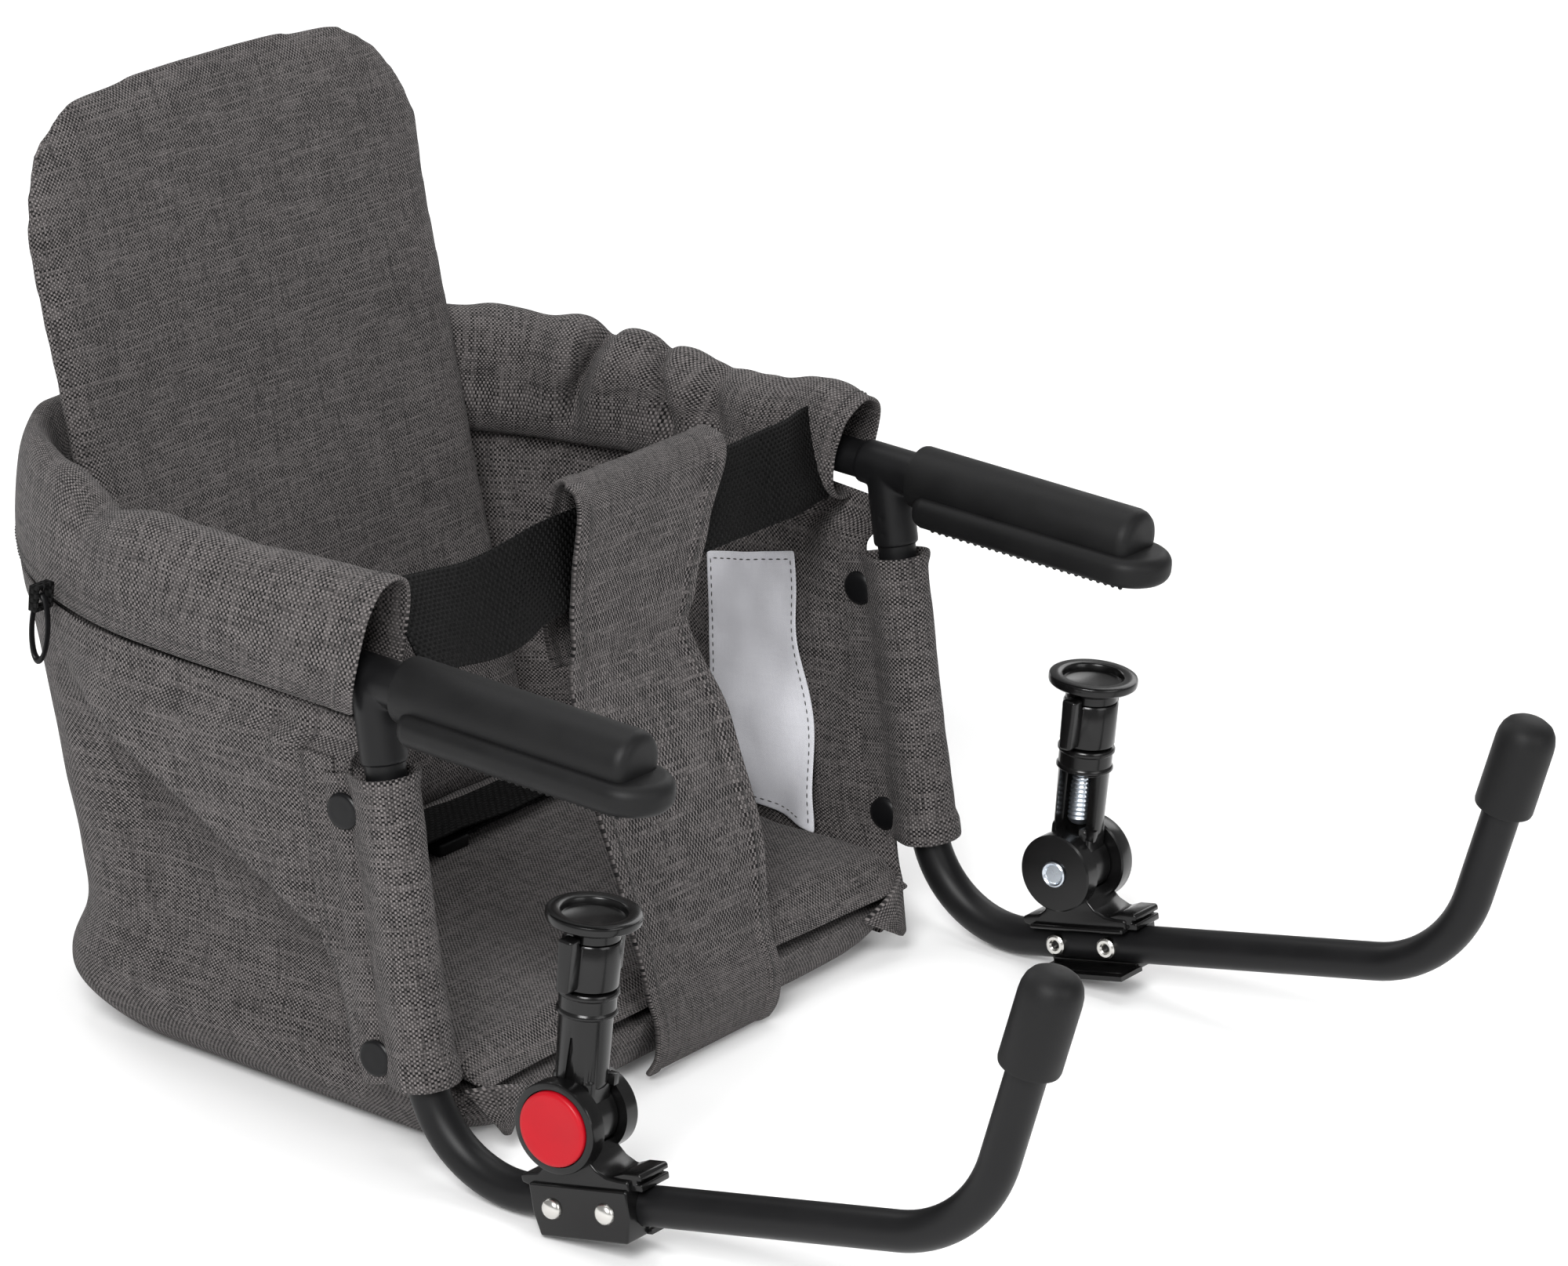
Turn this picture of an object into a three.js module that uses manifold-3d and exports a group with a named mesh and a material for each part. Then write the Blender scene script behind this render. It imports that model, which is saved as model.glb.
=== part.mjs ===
// Hook-on table chair for a small child: a bent tube frame with two arms that lie on a table,
// two lower tubes with screw clamps that press up from below, and a sewn fabric seat.
// Millimetres, +Z up, the front (towards the table) is -Y. Left is -X, right is +X.
// The arms are level, and the chair stands on its seat underside and its two brackets.
import * as THREE from 'three';
import { mergeVertices } from 'three/addons/utils/BufferGeometryUtils.js';
import Module from 'manifold-3d';

const wasm = await Module();
wasm.setup();

// Fits
const FIT = 0.3;
const RUN = 0.08;
const SEW = 0.4;

// Tube frame
const TUBE_R = 8;
const TUBE_WALL = 1.5;
const HALF_SPACING = 176;
const ARM_Z = 195.8;
const ARM_FRONT_Y = -11;
const RAIL_REAR_Y = 340;
const RAIL_BEND_R = 110;
const BAR_RISE = THREE.MathUtils.degToRad(13.4);
const BAR_Z = 14.3;
const HEEL_Y = 62.4;
const HEEL_BEND_R = 46;
const TOE_Y = -179.5;
const TOE_BEND_R = 54;
const TIP_LEAN = THREE.MathUtils.degToRad(11.5);
const TIP_LENGTH = 104;

// Tees that join the arms and the uprights
const TEE_R = 9.4;
const TEE_REAR = 11.7;
const TEE_FRONT = 15.8;
const TEE_DROP = 33;

// Rubber grips
const GRIP_R = 13.5;
const GRIP_FRONT_Y = -16.3;
const GRIP_WALL_FRONT = 5;
const SOLE_Z = 179.2;
const SOLE_HEIGHT = 13;
const SOLE_HALF_WIDTH = 17.6;
const SOLE_FRONT_Y = -29;
const SOLE_LIP = 4;

// Rubber caps on the tube tips
const CAP_R = 12.2;
const CAP_LENGTH = 41;
const CAP_DOME = 9;
const CAP_GRASP = 29;

// Clamp bracket, measured in the frame of the bar
const BRACKET_FRONT = 36;
const BRACKET_REAR = 10;
const BRACKET_OUT = 13.5;
const BRACKET_IN = 12.5;
const BRACKET_FOOT = 11.6;
const BRACKET_TOP = 11;
const LIP_OUT = 4;
const LIP_HEIGHT = 2;
const CATCH_LENGTH = 7;
const CATCH_HEIGHT = 5.5;
const CHEEK_R_OUT = 18.5;
const CHEEK_R_IN = 17.6;
const CHEEK_OUT = 16.5;
const CHEEK_IN = 15.9;
const PIVOT_Z = 48.5;
const PIN_R = 5;
const PIN_HEAD_R = 5.6;
const PIN_HEAD = 1.2;
const BOLT_R = 2.4;
const BOLT_HEAD_R = 4.7;
const BOLT_HEAD = 2.6;
const BOLT_SPACING = 25;

// Release button in the outer cheek
const BUTTON_R = 15;
const BUTTON_THICK = 4.6;
const BUTTON_DOME = 1.2;
const BUTTON_TRAVEL = 2.5;
const BUTTON_POCKET = 5.5;

// Folding post with a channel for the screw
const POST_EYE_R = 13;
const POST_HALF_IN = 8;
const POST_HALF_WIDTH = 9.5;
const POST_HALF_DEPTH = 10;
const POST_STEP_Z = 20;
const COLLAR_Z = 44;
const COLLAR_HEIGHT = 10;
const COLLAR_R = 11.2;
const COLLAR_RIDGE = 0.9;
const CHANNEL_Z = 16;
const CHANNEL_HALF = 5.7;
const CHANNEL_BACK = 5.5;

// Screw, knob and table pad
const ROD_R = 5;
const ROD_FOOT_Z = 19;
const ROD_IN_KNOB = 12;
const KNOB_R = 11.2;
const KNOB_HEIGHT = 19;
const KNOB_GAP = 1;
const WING_REACH = 7;
const WING_WIDTH = 8;
const WING_HEIGHT = 15;
const PAD_R = 18.6;
const PAD_NECK_R = 9;
const PAD_NECK = 4.7;
const PAD_RIM = 6;
const PAD_CUP_R = 12.5;
const PAD_CUP_DEPTH = 3;

// Fabric seat
const CLOTH = 2.4;
const SEAT_HALF_WIDTH = 160;
const SEAT_FRONT_Y = 62;
const SEAT_REAR_Y = 261;
const SEAT_BASE_HEIGHT = 26;
const SEAT_BASE_INSET = 30;
const SEAT_CORNER_R = 34;
const SEAT_PAD_HEIGHT = 10;
const SEAT_PAD_CROWN = 6;
const SEAT_PAD_INSET = 4;
const SEAT_PAD_ROLL = 9;
const SEAT_PAD_SHOULDER = 36;
const SEAT_PAD_FLAT = 60;
const WALL_BOTTOM_Z = 27;
const WALL_TOP_OUT = 6;
const WALL_FOLD = 3;
const HEM_HALF_WIDTH = 14.5;
const HEM_CORNER_HALF_WIDTH = 12.5;
const HEM_BELOW = 17;
const HEM_ABOVE_LEFT = 38;
const HEM_ABOVE_RIGHT = 24;
const HEM_ABOVE_REAR = 30;
const HEM_REAR_RISE = 9;
const HEM_WRINKLE = 3.5;
const HEM_SQUARE = 0.6;
const REAR_HALF = 50;
const SLEEVE_R = 11.4;
const SLEEVE_TAIL = 28;
const SLEEVE_TAIL_HALF = 2.6;
const SLEEVE_FIT = 0.9;
const SLEEVE_TOP_DROP = 37;
const SLEEVE_BOTTOM_RISE = 41;
const SNAP_R = 7.4;
const SNAP_CAP = 2.4;
const SNAP_SHANK_R = 2;
const SNAP_BACK = 19.5;
const SNAP_UPPER_DROP = 52;
const SNAP_LOWER_RISE = 51;

// Padded backrest
const BACK_LEAN = THREE.MathUtils.degToRad(17.7);
const BACK_CLEAR = 27.5;
const BACK_FOOT_Z = 40.5;
const BACK_LENGTH = 324.8;
const BACK_HALF_WIDTH = 127;
const BACK_CORNER_R = 52;
const BACK_ARCH = 8;
const BACK_EDGE = 7;
const BACK_CROWN = 5;

// Crotch panel, belts and small sewn parts
const CROTCH_HALF_WIDTH = 46;
const CROTCH_THICK = 5;
const CROTCH_TOP_Y = 112;
const CROTCH_TOP_Z = 238;
const CROTCH_LOOP = 66;
const CROTCH_KNEE_Z = 160;
const CROTCH_LOOP_GAP = 7;
const CROTCH_FOOT_Z = 12;
const BELT_WIDTH = 40;
const BELT_THICK = 1.8;
const BELT_Z = 211;
const BELT_SAG_Y = 16;
const STRAP_Y = 216;
const STRAP_LEFT_X = 20;
const STRAP_RIGHT_X = 100;
const STRAP_WIDTH = 24;
const STRAP_THICK = 2;
const BUCKLE_WIDTH = 34;
const BUCKLE_LENGTH = 20;
const BUCKLE_BAR = 4;
const LABEL_WIDTH = 54;
const LABEL_HEIGHT = 108;
const LABEL_THICK = 0.8;
const LABEL_EASE = 0.5;
const LABEL_Y = 168;
const LABEL_Z = 44;
const RING_HALF_WIDTH = 5.6;
const RING_HEIGHT = 30;
const RING_BAR_R = 1.6;
const RING_Y = 262;
const TAB_HALF_WIDTH = 1.2;
const TAB_WALL = 1.8;

const ROUND = 16;

const vec = (x, y, z) => new THREE.Vector3(x, y, z);
const mix = THREE.MathUtils.lerp;

// Gives one closed body with merged corners and its faces pointing out.
function closed(geometry) {
  const plain = geometry.index ? geometry.toNonIndexed() : geometry.clone();
  for (const name of Object.keys(plain.attributes)) {
    if (name !== 'position') plain.deleteAttribute(name);
  }
  const merged = mergeVertices(plain, 1e-4);
  const source = merged.index.array;
  const spots = merged.attributes.position;
  const faces = [];
  let volume = 0;
  const [a, b, c] = [vec(0, 0, 0), vec(0, 0, 0), vec(0, 0, 0)];
  for (let i = 0; i < source.length; i += 3) {
    const [p, q, r] = [source[i], source[i + 1], source[i + 2]];
    if (p === q || q === r || r === p) continue;
    faces.push(p, q, r);
    a.fromBufferAttribute(spots, p);
    b.fromBufferAttribute(spots, q);
    c.fromBufferAttribute(spots, r);
    volume += a.dot(b.cross(c));
  }
  if (volume < 0) faces.reverse();
  const result = new THREE.BufferGeometry();
  result.setAttribute('position', spots);
  result.setIndex(faces);
  return result;
}

function toSolid(geometry) {
  const body = closed(geometry);
  return new wasm.Manifold(new wasm.Mesh({
    numProp: 3,
    vertProperties: new Float32Array(body.attributes.position.array),
    triVerts: new Uint32Array(body.index.array),
  }));
}

function toGeometry(solid) {
  const mesh = solid.getMesh();
  const geometry = new THREE.BufferGeometry();
  const count = mesh.vertProperties.length / mesh.numProp;
  const spots = new Float32Array(count * 3);
  for (let i = 0; i < count; i += 1) {
    for (let k = 0; k < 3; k += 1) spots[3 * i + k] = mesh.vertProperties[i * mesh.numProp + k];
  }
  geometry.setAttribute('position', new THREE.BufferAttribute(spots, 3));
  geometry.setIndex(Array.from(mesh.triVerts));
  return geometry;
}

function join(...geometries) {
  return toGeometry(geometries.map(toSolid).reduce((whole, next) => whole.add(next)));
}

function cut(geometry, ...tools) {
  return toGeometry(tools.map(toSolid).reduce((whole, next) => whole.subtract(next), toSolid(geometry)));
}

// Mirrors a shape drawn with outwards as +X onto the given side.
function onSide(geometry, side) {
  const shape = geometry.clone();
  if (side < 0) shape.scale(-1, 1, 1);
  return closed(shape);
}

function block(x0, x1, y0, y1, z0, z1) {
  const shape = new THREE.BoxGeometry(x1 - x0, y1 - y0, z1 - z0);
  return shape.translate((x0 + x1) / 2, (y0 + y1) / 2, (z0 + z1) / 2);
}

// A round bar along X, Y or Z between two places on that axis.
function bar(axis, radius, from, to, sides = ROUND) {
  const shape = new THREE.CylinderGeometry(radius, radius, Math.abs(to - from), sides);
  if (axis === 'x') shape.rotateZ(Math.PI / 2);
  if (axis === 'z') shape.rotateX(Math.PI / 2);
  const middle = (from + to) / 2;
  return shape.translate(axis === 'x' ? middle : 0, axis === 'y' ? middle : 0, axis === 'z' ? middle : 0);
}

// A turned shape about Z from [radius, height] pairs that start and end on the axis.
function turned(profile, sides = ROUND) {
  const shape = new THREE.LatheGeometry(profile.map(([r, z]) => new THREE.Vector2(r, z)), sides);
  return shape.rotateX(Math.PI / 2);
}

// A path of straight runs and round bends with a station at each change of direction.
class BentPath extends THREE.Curve {
  constructor(corners, bendRadii, bendSteps = 6) {
    super();
    this.spots = [corners[0].clone()];
    this.ways = [corners[1].clone().sub(corners[0]).normalize()];
    for (let i = 1; i < corners.length - 1; i += 1) {
      const before = corners[i].clone().sub(corners[i - 1]).normalize();
      const after = corners[i + 1].clone().sub(corners[i]).normalize();
      const turn = before.angleTo(after);
      const radius = bendRadii[i - 1];
      const start = corners[i].clone().addScaledVector(before, -radius * Math.tan(turn / 2));
      const axis = before.clone().cross(after).normalize();
      const inward = axis.clone().cross(before);
      const centre = start.clone().addScaledVector(inward, radius);
      for (let k = 0; k <= bendSteps; k += 1) {
        const angle = turn * k / bendSteps;
        this.spots.push(start.clone().sub(centre).applyAxisAngle(axis, angle).add(centre));
        this.ways.push(before.clone().applyAxisAngle(axis, angle));
      }
    }
    this.spots.push(corners.at(-1).clone());
    this.ways.push(this.ways.at(-1).clone());
    this.steps = this.spots.length - 1;
  }

  getPointAt(u, target = vec(0, 0, 0)) {
    return target.copy(this.spots[Math.round(u * this.steps)]);
  }

  getTangentAt(u, target = vec(0, 0, 0)) {
    return target.copy(this.ways[Math.round(u * this.steps)]);
  }
}

function bentTube(path, radius, wall, half = 7) {
  const ring = new THREE.Shape();
  ring.absarc(0, 0, radius, 0, Math.PI * 2);
  const bore = new THREE.Path();
  bore.absarc(0, 0, radius - wall, 0, Math.PI * 2, true);
  ring.holes.push(bore);
  return new THREE.ExtrudeGeometry(ring, { steps: path.steps, curveSegments: half, extrudePath: path });
}

// A closed skin over rings of equal count; the first and last ring are closed by flat caps.
function loft(rings) {
  const count = rings[0].length;
  const spots = [];
  const faces = [];
  rings.forEach((ring) => ring.forEach((p) => spots.push(p.x, p.y, p.z)));
  for (let i = 0; i < rings.length - 1; i += 1) {
    for (let k = 0; k < count; k += 1) {
      const [a, b] = [i * count + k, i * count + (k + 1) % count];
      faces.push(a, b, b + count, a, b + count, a + count);
    }
  }
  for (const [first, flip] of [[0, true], [(rings.length - 1) * count, false]]) {
    const middle = vec(0, 0, 0);
    rings[first / count].forEach((p) => middle.addScaledVector(p, 1 / count));
    const hub = spots.length / 3;
    spots.push(middle.x, middle.y, middle.z);
    for (let k = 0; k < count; k += 1) {
      const [a, b] = [first + k, first + (k + 1) % count];
      faces.push(...(flip ? [b, a, hub] : [a, b, hub]));
    }
  }
  const shape = new THREE.BufferGeometry();
  shape.setAttribute('position', new THREE.Float32BufferAttribute(spots, 3));
  shape.setIndex(faces);
  return closed(shape);
}

// A hollow sleeve over pairs of outer and inner rings, open at both ends.
function hollowLoft(outer, inner) {
  const count = outer[0].length;
  const rows = outer.length;
  const spots = [];
  const faces = [];
  [...outer, ...inner].forEach((ring) => ring.forEach((p) => spots.push(p.x, p.y, p.z)));
  const at = (layer, i, k) => (layer * rows + i) * count + (k % count);
  for (let k = 0; k < count; k += 1) {
    for (let i = 0; i < rows - 1; i += 1) {
      faces.push(at(0, i, k), at(0, i, k + 1), at(0, i + 1, k + 1));
      faces.push(at(0, i, k), at(0, i + 1, k + 1), at(0, i + 1, k));
      faces.push(at(1, i, k), at(1, i + 1, k + 1), at(1, i, k + 1));
      faces.push(at(1, i, k), at(1, i + 1, k), at(1, i + 1, k + 1));
    }
    const end = rows - 1;
    faces.push(at(0, 0, k), at(1, 0, k + 1), at(0, 0, k + 1), at(0, 0, k), at(1, 0, k), at(1, 0, k + 1));
    faces.push(at(0, end, k), at(0, end, k + 1), at(1, end, k + 1));
    faces.push(at(0, end, k), at(1, end, k + 1), at(1, end, k));
  }
  const shape = new THREE.BufferGeometry();
  shape.setAttribute('position', new THREE.Float32BufferAttribute(spots, 3));
  shape.setIndex(faces);
  return closed(shape);
}

// A sheet of cloth: a grid of points and its copy set off along the given offset.
function sheet(columns, rows, point, offset) {
  const spots = [];
  const faces = [];
  for (const layer of [0, 1]) {
    for (let j = 0; j <= rows; j += 1) {
      for (let i = 0; i <= columns; i += 1) {
        const p = point(i / columns, j / rows);
        if (layer) p.add(offset(i / columns, j / rows));
        spots.push(p.x, p.y, p.z);
      }
    }
  }
  const size = (columns + 1) * (rows + 1);
  const at = (layer, i, j) => layer * size + j * (columns + 1) + i;
  const quad = (a, b, c, d) => faces.push(a, b, c, a, c, d);
  for (let j = 0; j < rows; j += 1) {
    for (let i = 0; i < columns; i += 1) {
      quad(at(0, i, j), at(0, i, j + 1), at(0, i + 1, j + 1), at(0, i + 1, j));
      quad(at(1, i, j), at(1, i + 1, j), at(1, i + 1, j + 1), at(1, i, j + 1));
    }
    quad(at(0, 0, j), at(1, 0, j), at(1, 0, j + 1), at(0, 0, j + 1));
    quad(at(0, columns, j), at(0, columns, j + 1), at(1, columns, j + 1), at(1, columns, j));
  }
  for (let i = 0; i < columns; i += 1) {
    quad(at(0, i, 0), at(0, i + 1, 0), at(1, i + 1, 0), at(1, i, 0));
    quad(at(0, i, rows), at(1, i, rows), at(1, i + 1, rows), at(0, i + 1, rows));
  }
  const shape = new THREE.BufferGeometry();
  shape.setAttribute('position', new THREE.Float32BufferAttribute(spots, 3));
  shape.setIndex(faces);
  return closed(shape);
}

// Looks
const LOOKS = {
  frame: { color: 0x17171a, roughness: 0.45, metalness: 0.5 },
  moulded: { color: 0x101012, roughness: 0.3, metalness: 0 },
  rubber: { color: 0x19191b, roughness: 0.75, metalness: 0 },
  zinc: { color: 0xb9c3cc, roughness: 0.3, metalness: 1 },
  red: { color: 0xd7202f, roughness: 0.4, metalness: 0 },
  cloth: { color: 0x5c5858, roughness: 0.95, metalness: 0 },
  webbing: { color: 0x161617, roughness: 0.85, metalness: 0 },
  label: { color: 0xe9e9ec, roughness: 0.7, metalness: 0 },
};

const chair = new THREE.Group();

function add(parent, name, geometry, look) {
  const mesh = new THREE.Mesh(geometry, new THREE.MeshStandardMaterial(LOOKS[look]));
  mesh.name = name;
  parent.add(mesh);
  return mesh;
}

// Points of the side view: uprights stand square to the rising bar.
const uprightWay = vec(0, Math.sin(BAR_RISE), Math.cos(BAR_RISE));
const barWay = vec(0, -Math.cos(BAR_RISE), Math.sin(BAR_RISE));
const barZ = (y) => BAR_Z - y * Math.tan(BAR_RISE);
const heel = vec(0, HEEL_Y, barZ(HEEL_Y));
const toe = vec(0, TOE_Y, barZ(TOE_Y));
const tipWay = vec(0, -Math.sin(TIP_LEAN), Math.cos(TIP_LEAN));
const uprightLength = (ARM_Z - heel.z) / uprightWay.z;
const teePoint = heel.clone().addScaledVector(uprightWay, uprightLength);
const tipEnd = toe.clone().addScaledVector(tipWay, TIP_LENGTH);
const pivotUp = PIVOT_Z - BAR_Z;

// Arms and rear rail, one bent tube
const railPath = new BentPath([
  vec(-HALF_SPACING, ARM_FRONT_Y, ARM_Z),
  vec(-HALF_SPACING, RAIL_REAR_Y, ARM_Z),
  vec(HALF_SPACING, RAIL_REAR_Y, ARM_Z),
  vec(HALF_SPACING, ARM_FRONT_Y, ARM_Z),
], [RAIL_BEND_R, RAIL_BEND_R]);
add(chair, 'rear_rail', closed(bentTube(railPath, TUBE_R, TUBE_WALL)), 'frame');

const boltAt = [0, -BOLT_SPACING];

function lowerTube() {
  const start = teePoint.clone().addScaledVector(uprightWay, -(TUBE_R * (1 + Math.tan(BAR_RISE)) + 2 * FIT));
  const path = new BentPath([start, heel, toe, tipEnd], [HEEL_BEND_R, TOE_BEND_R]);
  const holes = boltAt.map((y) => {
    const hole = bar('x', BOLT_R + FIT, -TUBE_R - 2, TUBE_R + 2, 12);
    return hole.translate(0, y, 0).rotateX(-BAR_RISE).translate(0, 0, BAR_Z);
  });
  return cut(bentTube(path, TUBE_R, TUBE_WALL), ...holes);
}

function tee() {
  const collar = bar('y', TEE_R, -TEE_FRONT, TEE_REAR);
  const socket = bar('z', TEE_R, -TEE_DROP, 0).rotateX(-BAR_RISE);
  const railBore = bar('y', TUBE_R + FIT, -TEE_FRONT - TEE_R, TEE_REAR + TEE_R);
  const socketBore = bar('z', TUBE_R + FIT, -TEE_DROP - 1, 0).rotateX(-BAR_RISE);
  return cut(join(collar, socket), railBore, socketBore);
}

function grip() {
  const rear = teePoint.y - TEE_FRONT - FIT;
  const round = Math.min(GRIP_R * 0.4, GRIP_WALL_FRONT);
  const barrel = turned([
    [0, -rear], [GRIP_R, -rear], [GRIP_R, -GRIP_FRONT_Y - round],
    [GRIP_R - round * 0.3, -GRIP_FRONT_Y - round * 0.3], [GRIP_R - round, -GRIP_FRONT_Y], [0, -GRIP_FRONT_Y],
  ]).rotateX(Math.PI / 2);
  const nose = SOLE_HALF_WIDTH;
  const plan = new THREE.Shape();
  plan.moveTo(-SOLE_HALF_WIDTH, rear - SOLE_LIP);
  plan.lineTo(-SOLE_HALF_WIDTH, SOLE_FRONT_Y + nose);
  plan.absarc(0, SOLE_FRONT_Y + nose, nose, Math.PI, Math.PI * 2);
  plan.lineTo(SOLE_HALF_WIDTH, rear - SOLE_LIP);
  const sole = new THREE.ExtrudeGeometry(plan, {
    depth: SOLE_HEIGHT - SOLE_LIP, curveSegments: 14, bevelEnabled: true,
    bevelThickness: SOLE_LIP / 2, bevelSize: SOLE_LIP / 2, bevelOffset: -SOLE_LIP / 2, bevelSegments: 2,
  }).translate(0, 0, SOLE_Z - ARM_Z + SOLE_LIP / 2);
  const bore = bar('y', TUBE_R + FIT, ARM_FRONT_Y - FIT, rear + 1);
  return cut(join(barrel, sole), bore);
}

function cap() {
  const side = CAP_LENGTH - CAP_DOME;
  const bore = TUBE_R + FIT;
  return turned([
    [bore, 0], [CAP_R - 1, 0], [CAP_R, 1.5], [CAP_R, side],
    [CAP_R * 0.93, side + CAP_DOME * 0.45], [CAP_R * 0.72, side + CAP_DOME * 0.8],
    [CAP_R * 0.4, side + CAP_DOME * 0.96], [0, CAP_LENGTH],
    [0, CAP_GRASP], [bore, CAP_GRASP], [bore, 0],
  ]);
}

// Cheek outline in the frame of the bar: a round head on a foot that stands on the block.
function cheek(radius, x0, x1, y, z) {
  const outline = new THREE.Shape();
  outline.moveTo(-BRACKET_FRONT + 6, BRACKET_TOP - 1);
  outline.lineTo(BRACKET_REAR, BRACKET_TOP - 1);
  outline.lineTo(y + radius, z - radius * 0.3);
  outline.absarc(y, z, radius, -0.25, Math.PI + 0.25);
  const shape = new THREE.ExtrudeGeometry(outline, { depth: x1 - x0, bevelEnabled: false, curveSegments: 20 });
  shape.rotateY(Math.PI / 2).rotateX(Math.PI / 2);
  return shape.translate(x0, 0, 0);
}

function bracket() {
  const y = -pivotUp * Math.sin(BAR_RISE);
  const z = pivotUp * Math.cos(BAR_RISE);
  const base = block(-BRACKET_IN, BRACKET_OUT, -BRACKET_FRONT, BRACKET_REAR, -BRACKET_FOOT, BRACKET_TOP);
  const lip = block(-BRACKET_IN - LIP_OUT, 0, -BRACKET_FRONT, BRACKET_REAR - 6, -BRACKET_FOOT, -BRACKET_FOOT + LIP_HEIGHT);
  const latch = block(-BRACKET_IN + 4, BRACKET_OUT - 4, -BRACKET_FRONT - CATCH_LENGTH, -BRACKET_FRONT + 8,
    BRACKET_TOP - 2, BRACKET_TOP + CATCH_HEIGHT);
  const inner = POST_HALF_IN + FIT;
  const outerCheek = cheek(CHEEK_R_OUT, inner, CHEEK_OUT, y, z);
  const innerCheek = cheek(CHEEK_R_IN, -CHEEK_IN, -inner, y, z);
  const tubeBore = bar('y', TUBE_R + FIT, -BRACKET_FRONT - CATCH_LENGTH - 2, BRACKET_REAR + 2);
  const pocket = bar('x', BUTTON_R + FIT, CHEEK_OUT - BUTTON_POCKET, CHEEK_OUT + 1, 22).translate(0, y, z);
  const pinBore = bar('x', PIN_R + FIT, -CHEEK_IN - 1, CHEEK_OUT + 1).translate(0, y, z);
  const boltBores = boltAt.map((at) => bar('x', BOLT_R + FIT, -BRACKET_IN - 5, BRACKET_OUT + 5, 12).translate(0, at, 0));
  return cut(join(base, lip, latch, outerCheek, innerCheek), tubeBore, pocket, pinBore, ...boltBores);
}

// A rivet bolt about X: a domed head outside and a rolled hollow end inside.
function bolt() {
  const from = -BRACKET_IN - FIT;
  const to = BRACKET_OUT + FIT;
  return turned([
    [0, from - 0.4], [BOLT_R * 0.7, from - 0.4], [BOLT_R * 0.8, from - BOLT_HEAD * 0.5],
    [BOLT_HEAD_R * 0.85, from - BOLT_HEAD * 0.5], [BOLT_HEAD_R, from], [BOLT_R, from], [BOLT_R, to],
    [BOLT_HEAD_R, to], [BOLT_HEAD_R * 0.94, to + BOLT_HEAD * 0.4], [BOLT_HEAD_R * 0.6, to + BOLT_HEAD * 0.85],
    [0, to + BOLT_HEAD],
  ], 12).rotateY(Math.PI / 2);
}

function pivotPin() {
  const to = CHEEK_OUT - BUTTON_POCKET - FIT;
  return turned([
    [0, -CHEEK_IN - FIT - PIN_HEAD], [PIN_HEAD_R - 0.6, -CHEEK_IN - FIT - PIN_HEAD], [PIN_HEAD_R, -CHEEK_IN - FIT - PIN_HEAD * 0.4],
    [PIN_HEAD_R, -CHEEK_IN - FIT], [PIN_R, -CHEEK_IN - FIT], [PIN_R, to], [0, to],
  ], 24).rotateY(Math.PI / 2);
}

function button() {
  const from = CHEEK_OUT - BUTTON_POCKET + FIT + BUTTON_TRAVEL;
  const to = from + BUTTON_THICK;
  return turned([
    [0, from], [BUTTON_R, from], [BUTTON_R, to - BUTTON_DOME], [BUTTON_R * 0.96, to - BUTTON_DOME * 0.45],
    [BUTTON_R * 0.8, to], [BUTTON_R * 0.72, to - BUTTON_DOME * 0.25], [0, to - BUTTON_DOME * 0.7],
  ], 22).rotateY(Math.PI / 2);
}

function post() {
  const eye = bar('x', POST_EYE_R, -POST_HALF_IN, POST_HALF_IN);
  const depth = POST_HALF_DEPTH;
  const shank = block(-POST_HALF_IN, POST_HALF_IN, -depth, depth, 0, POST_STEP_Z + 1);
  const shaft = block(-POST_HALF_WIDTH, POST_HALF_WIDTH, -depth, depth, POST_STEP_Z, COLLAR_Z + 0.5);
  const top = COLLAR_Z + COLLAR_HEIGHT;
  const ridge = COLLAR_R + COLLAR_RIDGE;
  const collar = turned([
    [0, COLLAR_Z], [ridge, COLLAR_Z], [ridge, COLLAR_Z + 2], [COLLAR_R, COLLAR_Z + 2.4], [COLLAR_R, top - 2.4],
    [ridge, top - 2], [ridge, top], [0, top],
  ]);
  const channel = block(-POST_HALF_WIDTH - 2, CHANNEL_BACK, -CHANNEL_HALF, CHANNEL_HALF, CHANNEL_Z, COLLAR_Z + 0.2);
  const nut = bar('z', ROD_R + FIT, CHANNEL_Z, top + 1);
  const pinBore = bar('x', PIN_R + RUN, -POST_HALF_IN - 1, POST_HALF_IN + 1, 24);
  return cut(join(eye, shank, shaft, collar), channel, nut, pinBore);
}

const knobFoot = COLLAR_Z + COLLAR_HEIGHT + KNOB_GAP;
const knobTop = knobFoot + KNOB_HEIGHT;

function knob() {
  const barrel = turned([
    [0, knobFoot], [KNOB_R - 1, knobFoot], [KNOB_R, knobFoot + 1], [KNOB_R, knobTop - 4],
    [KNOB_R - 1.4, knobTop - 3], [KNOB_R - 1.4, knobTop], [0, knobTop],
  ]);
  const reach = KNOB_R + WING_REACH;
  const wings = block(-reach, reach, -WING_WIDTH / 2, WING_WIDTH / 2, knobTop - 2 - WING_HEIGHT, knobTop - 2);
  const bore = bar('z', ROD_R + FIT, knobFoot - 1, knobFoot + ROD_IN_KNOB);
  return cut(join(barrel, wings), bore);
}

function rod() {
  const from = ROD_FOOT_Z;
  const to = knobFoot + ROD_IN_KNOB - FIT;
  return turned([[0, from], [ROD_R - 0.8, from], [ROD_R, from + 0.8], [ROD_R, to], [0, to]]);
}

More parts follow.
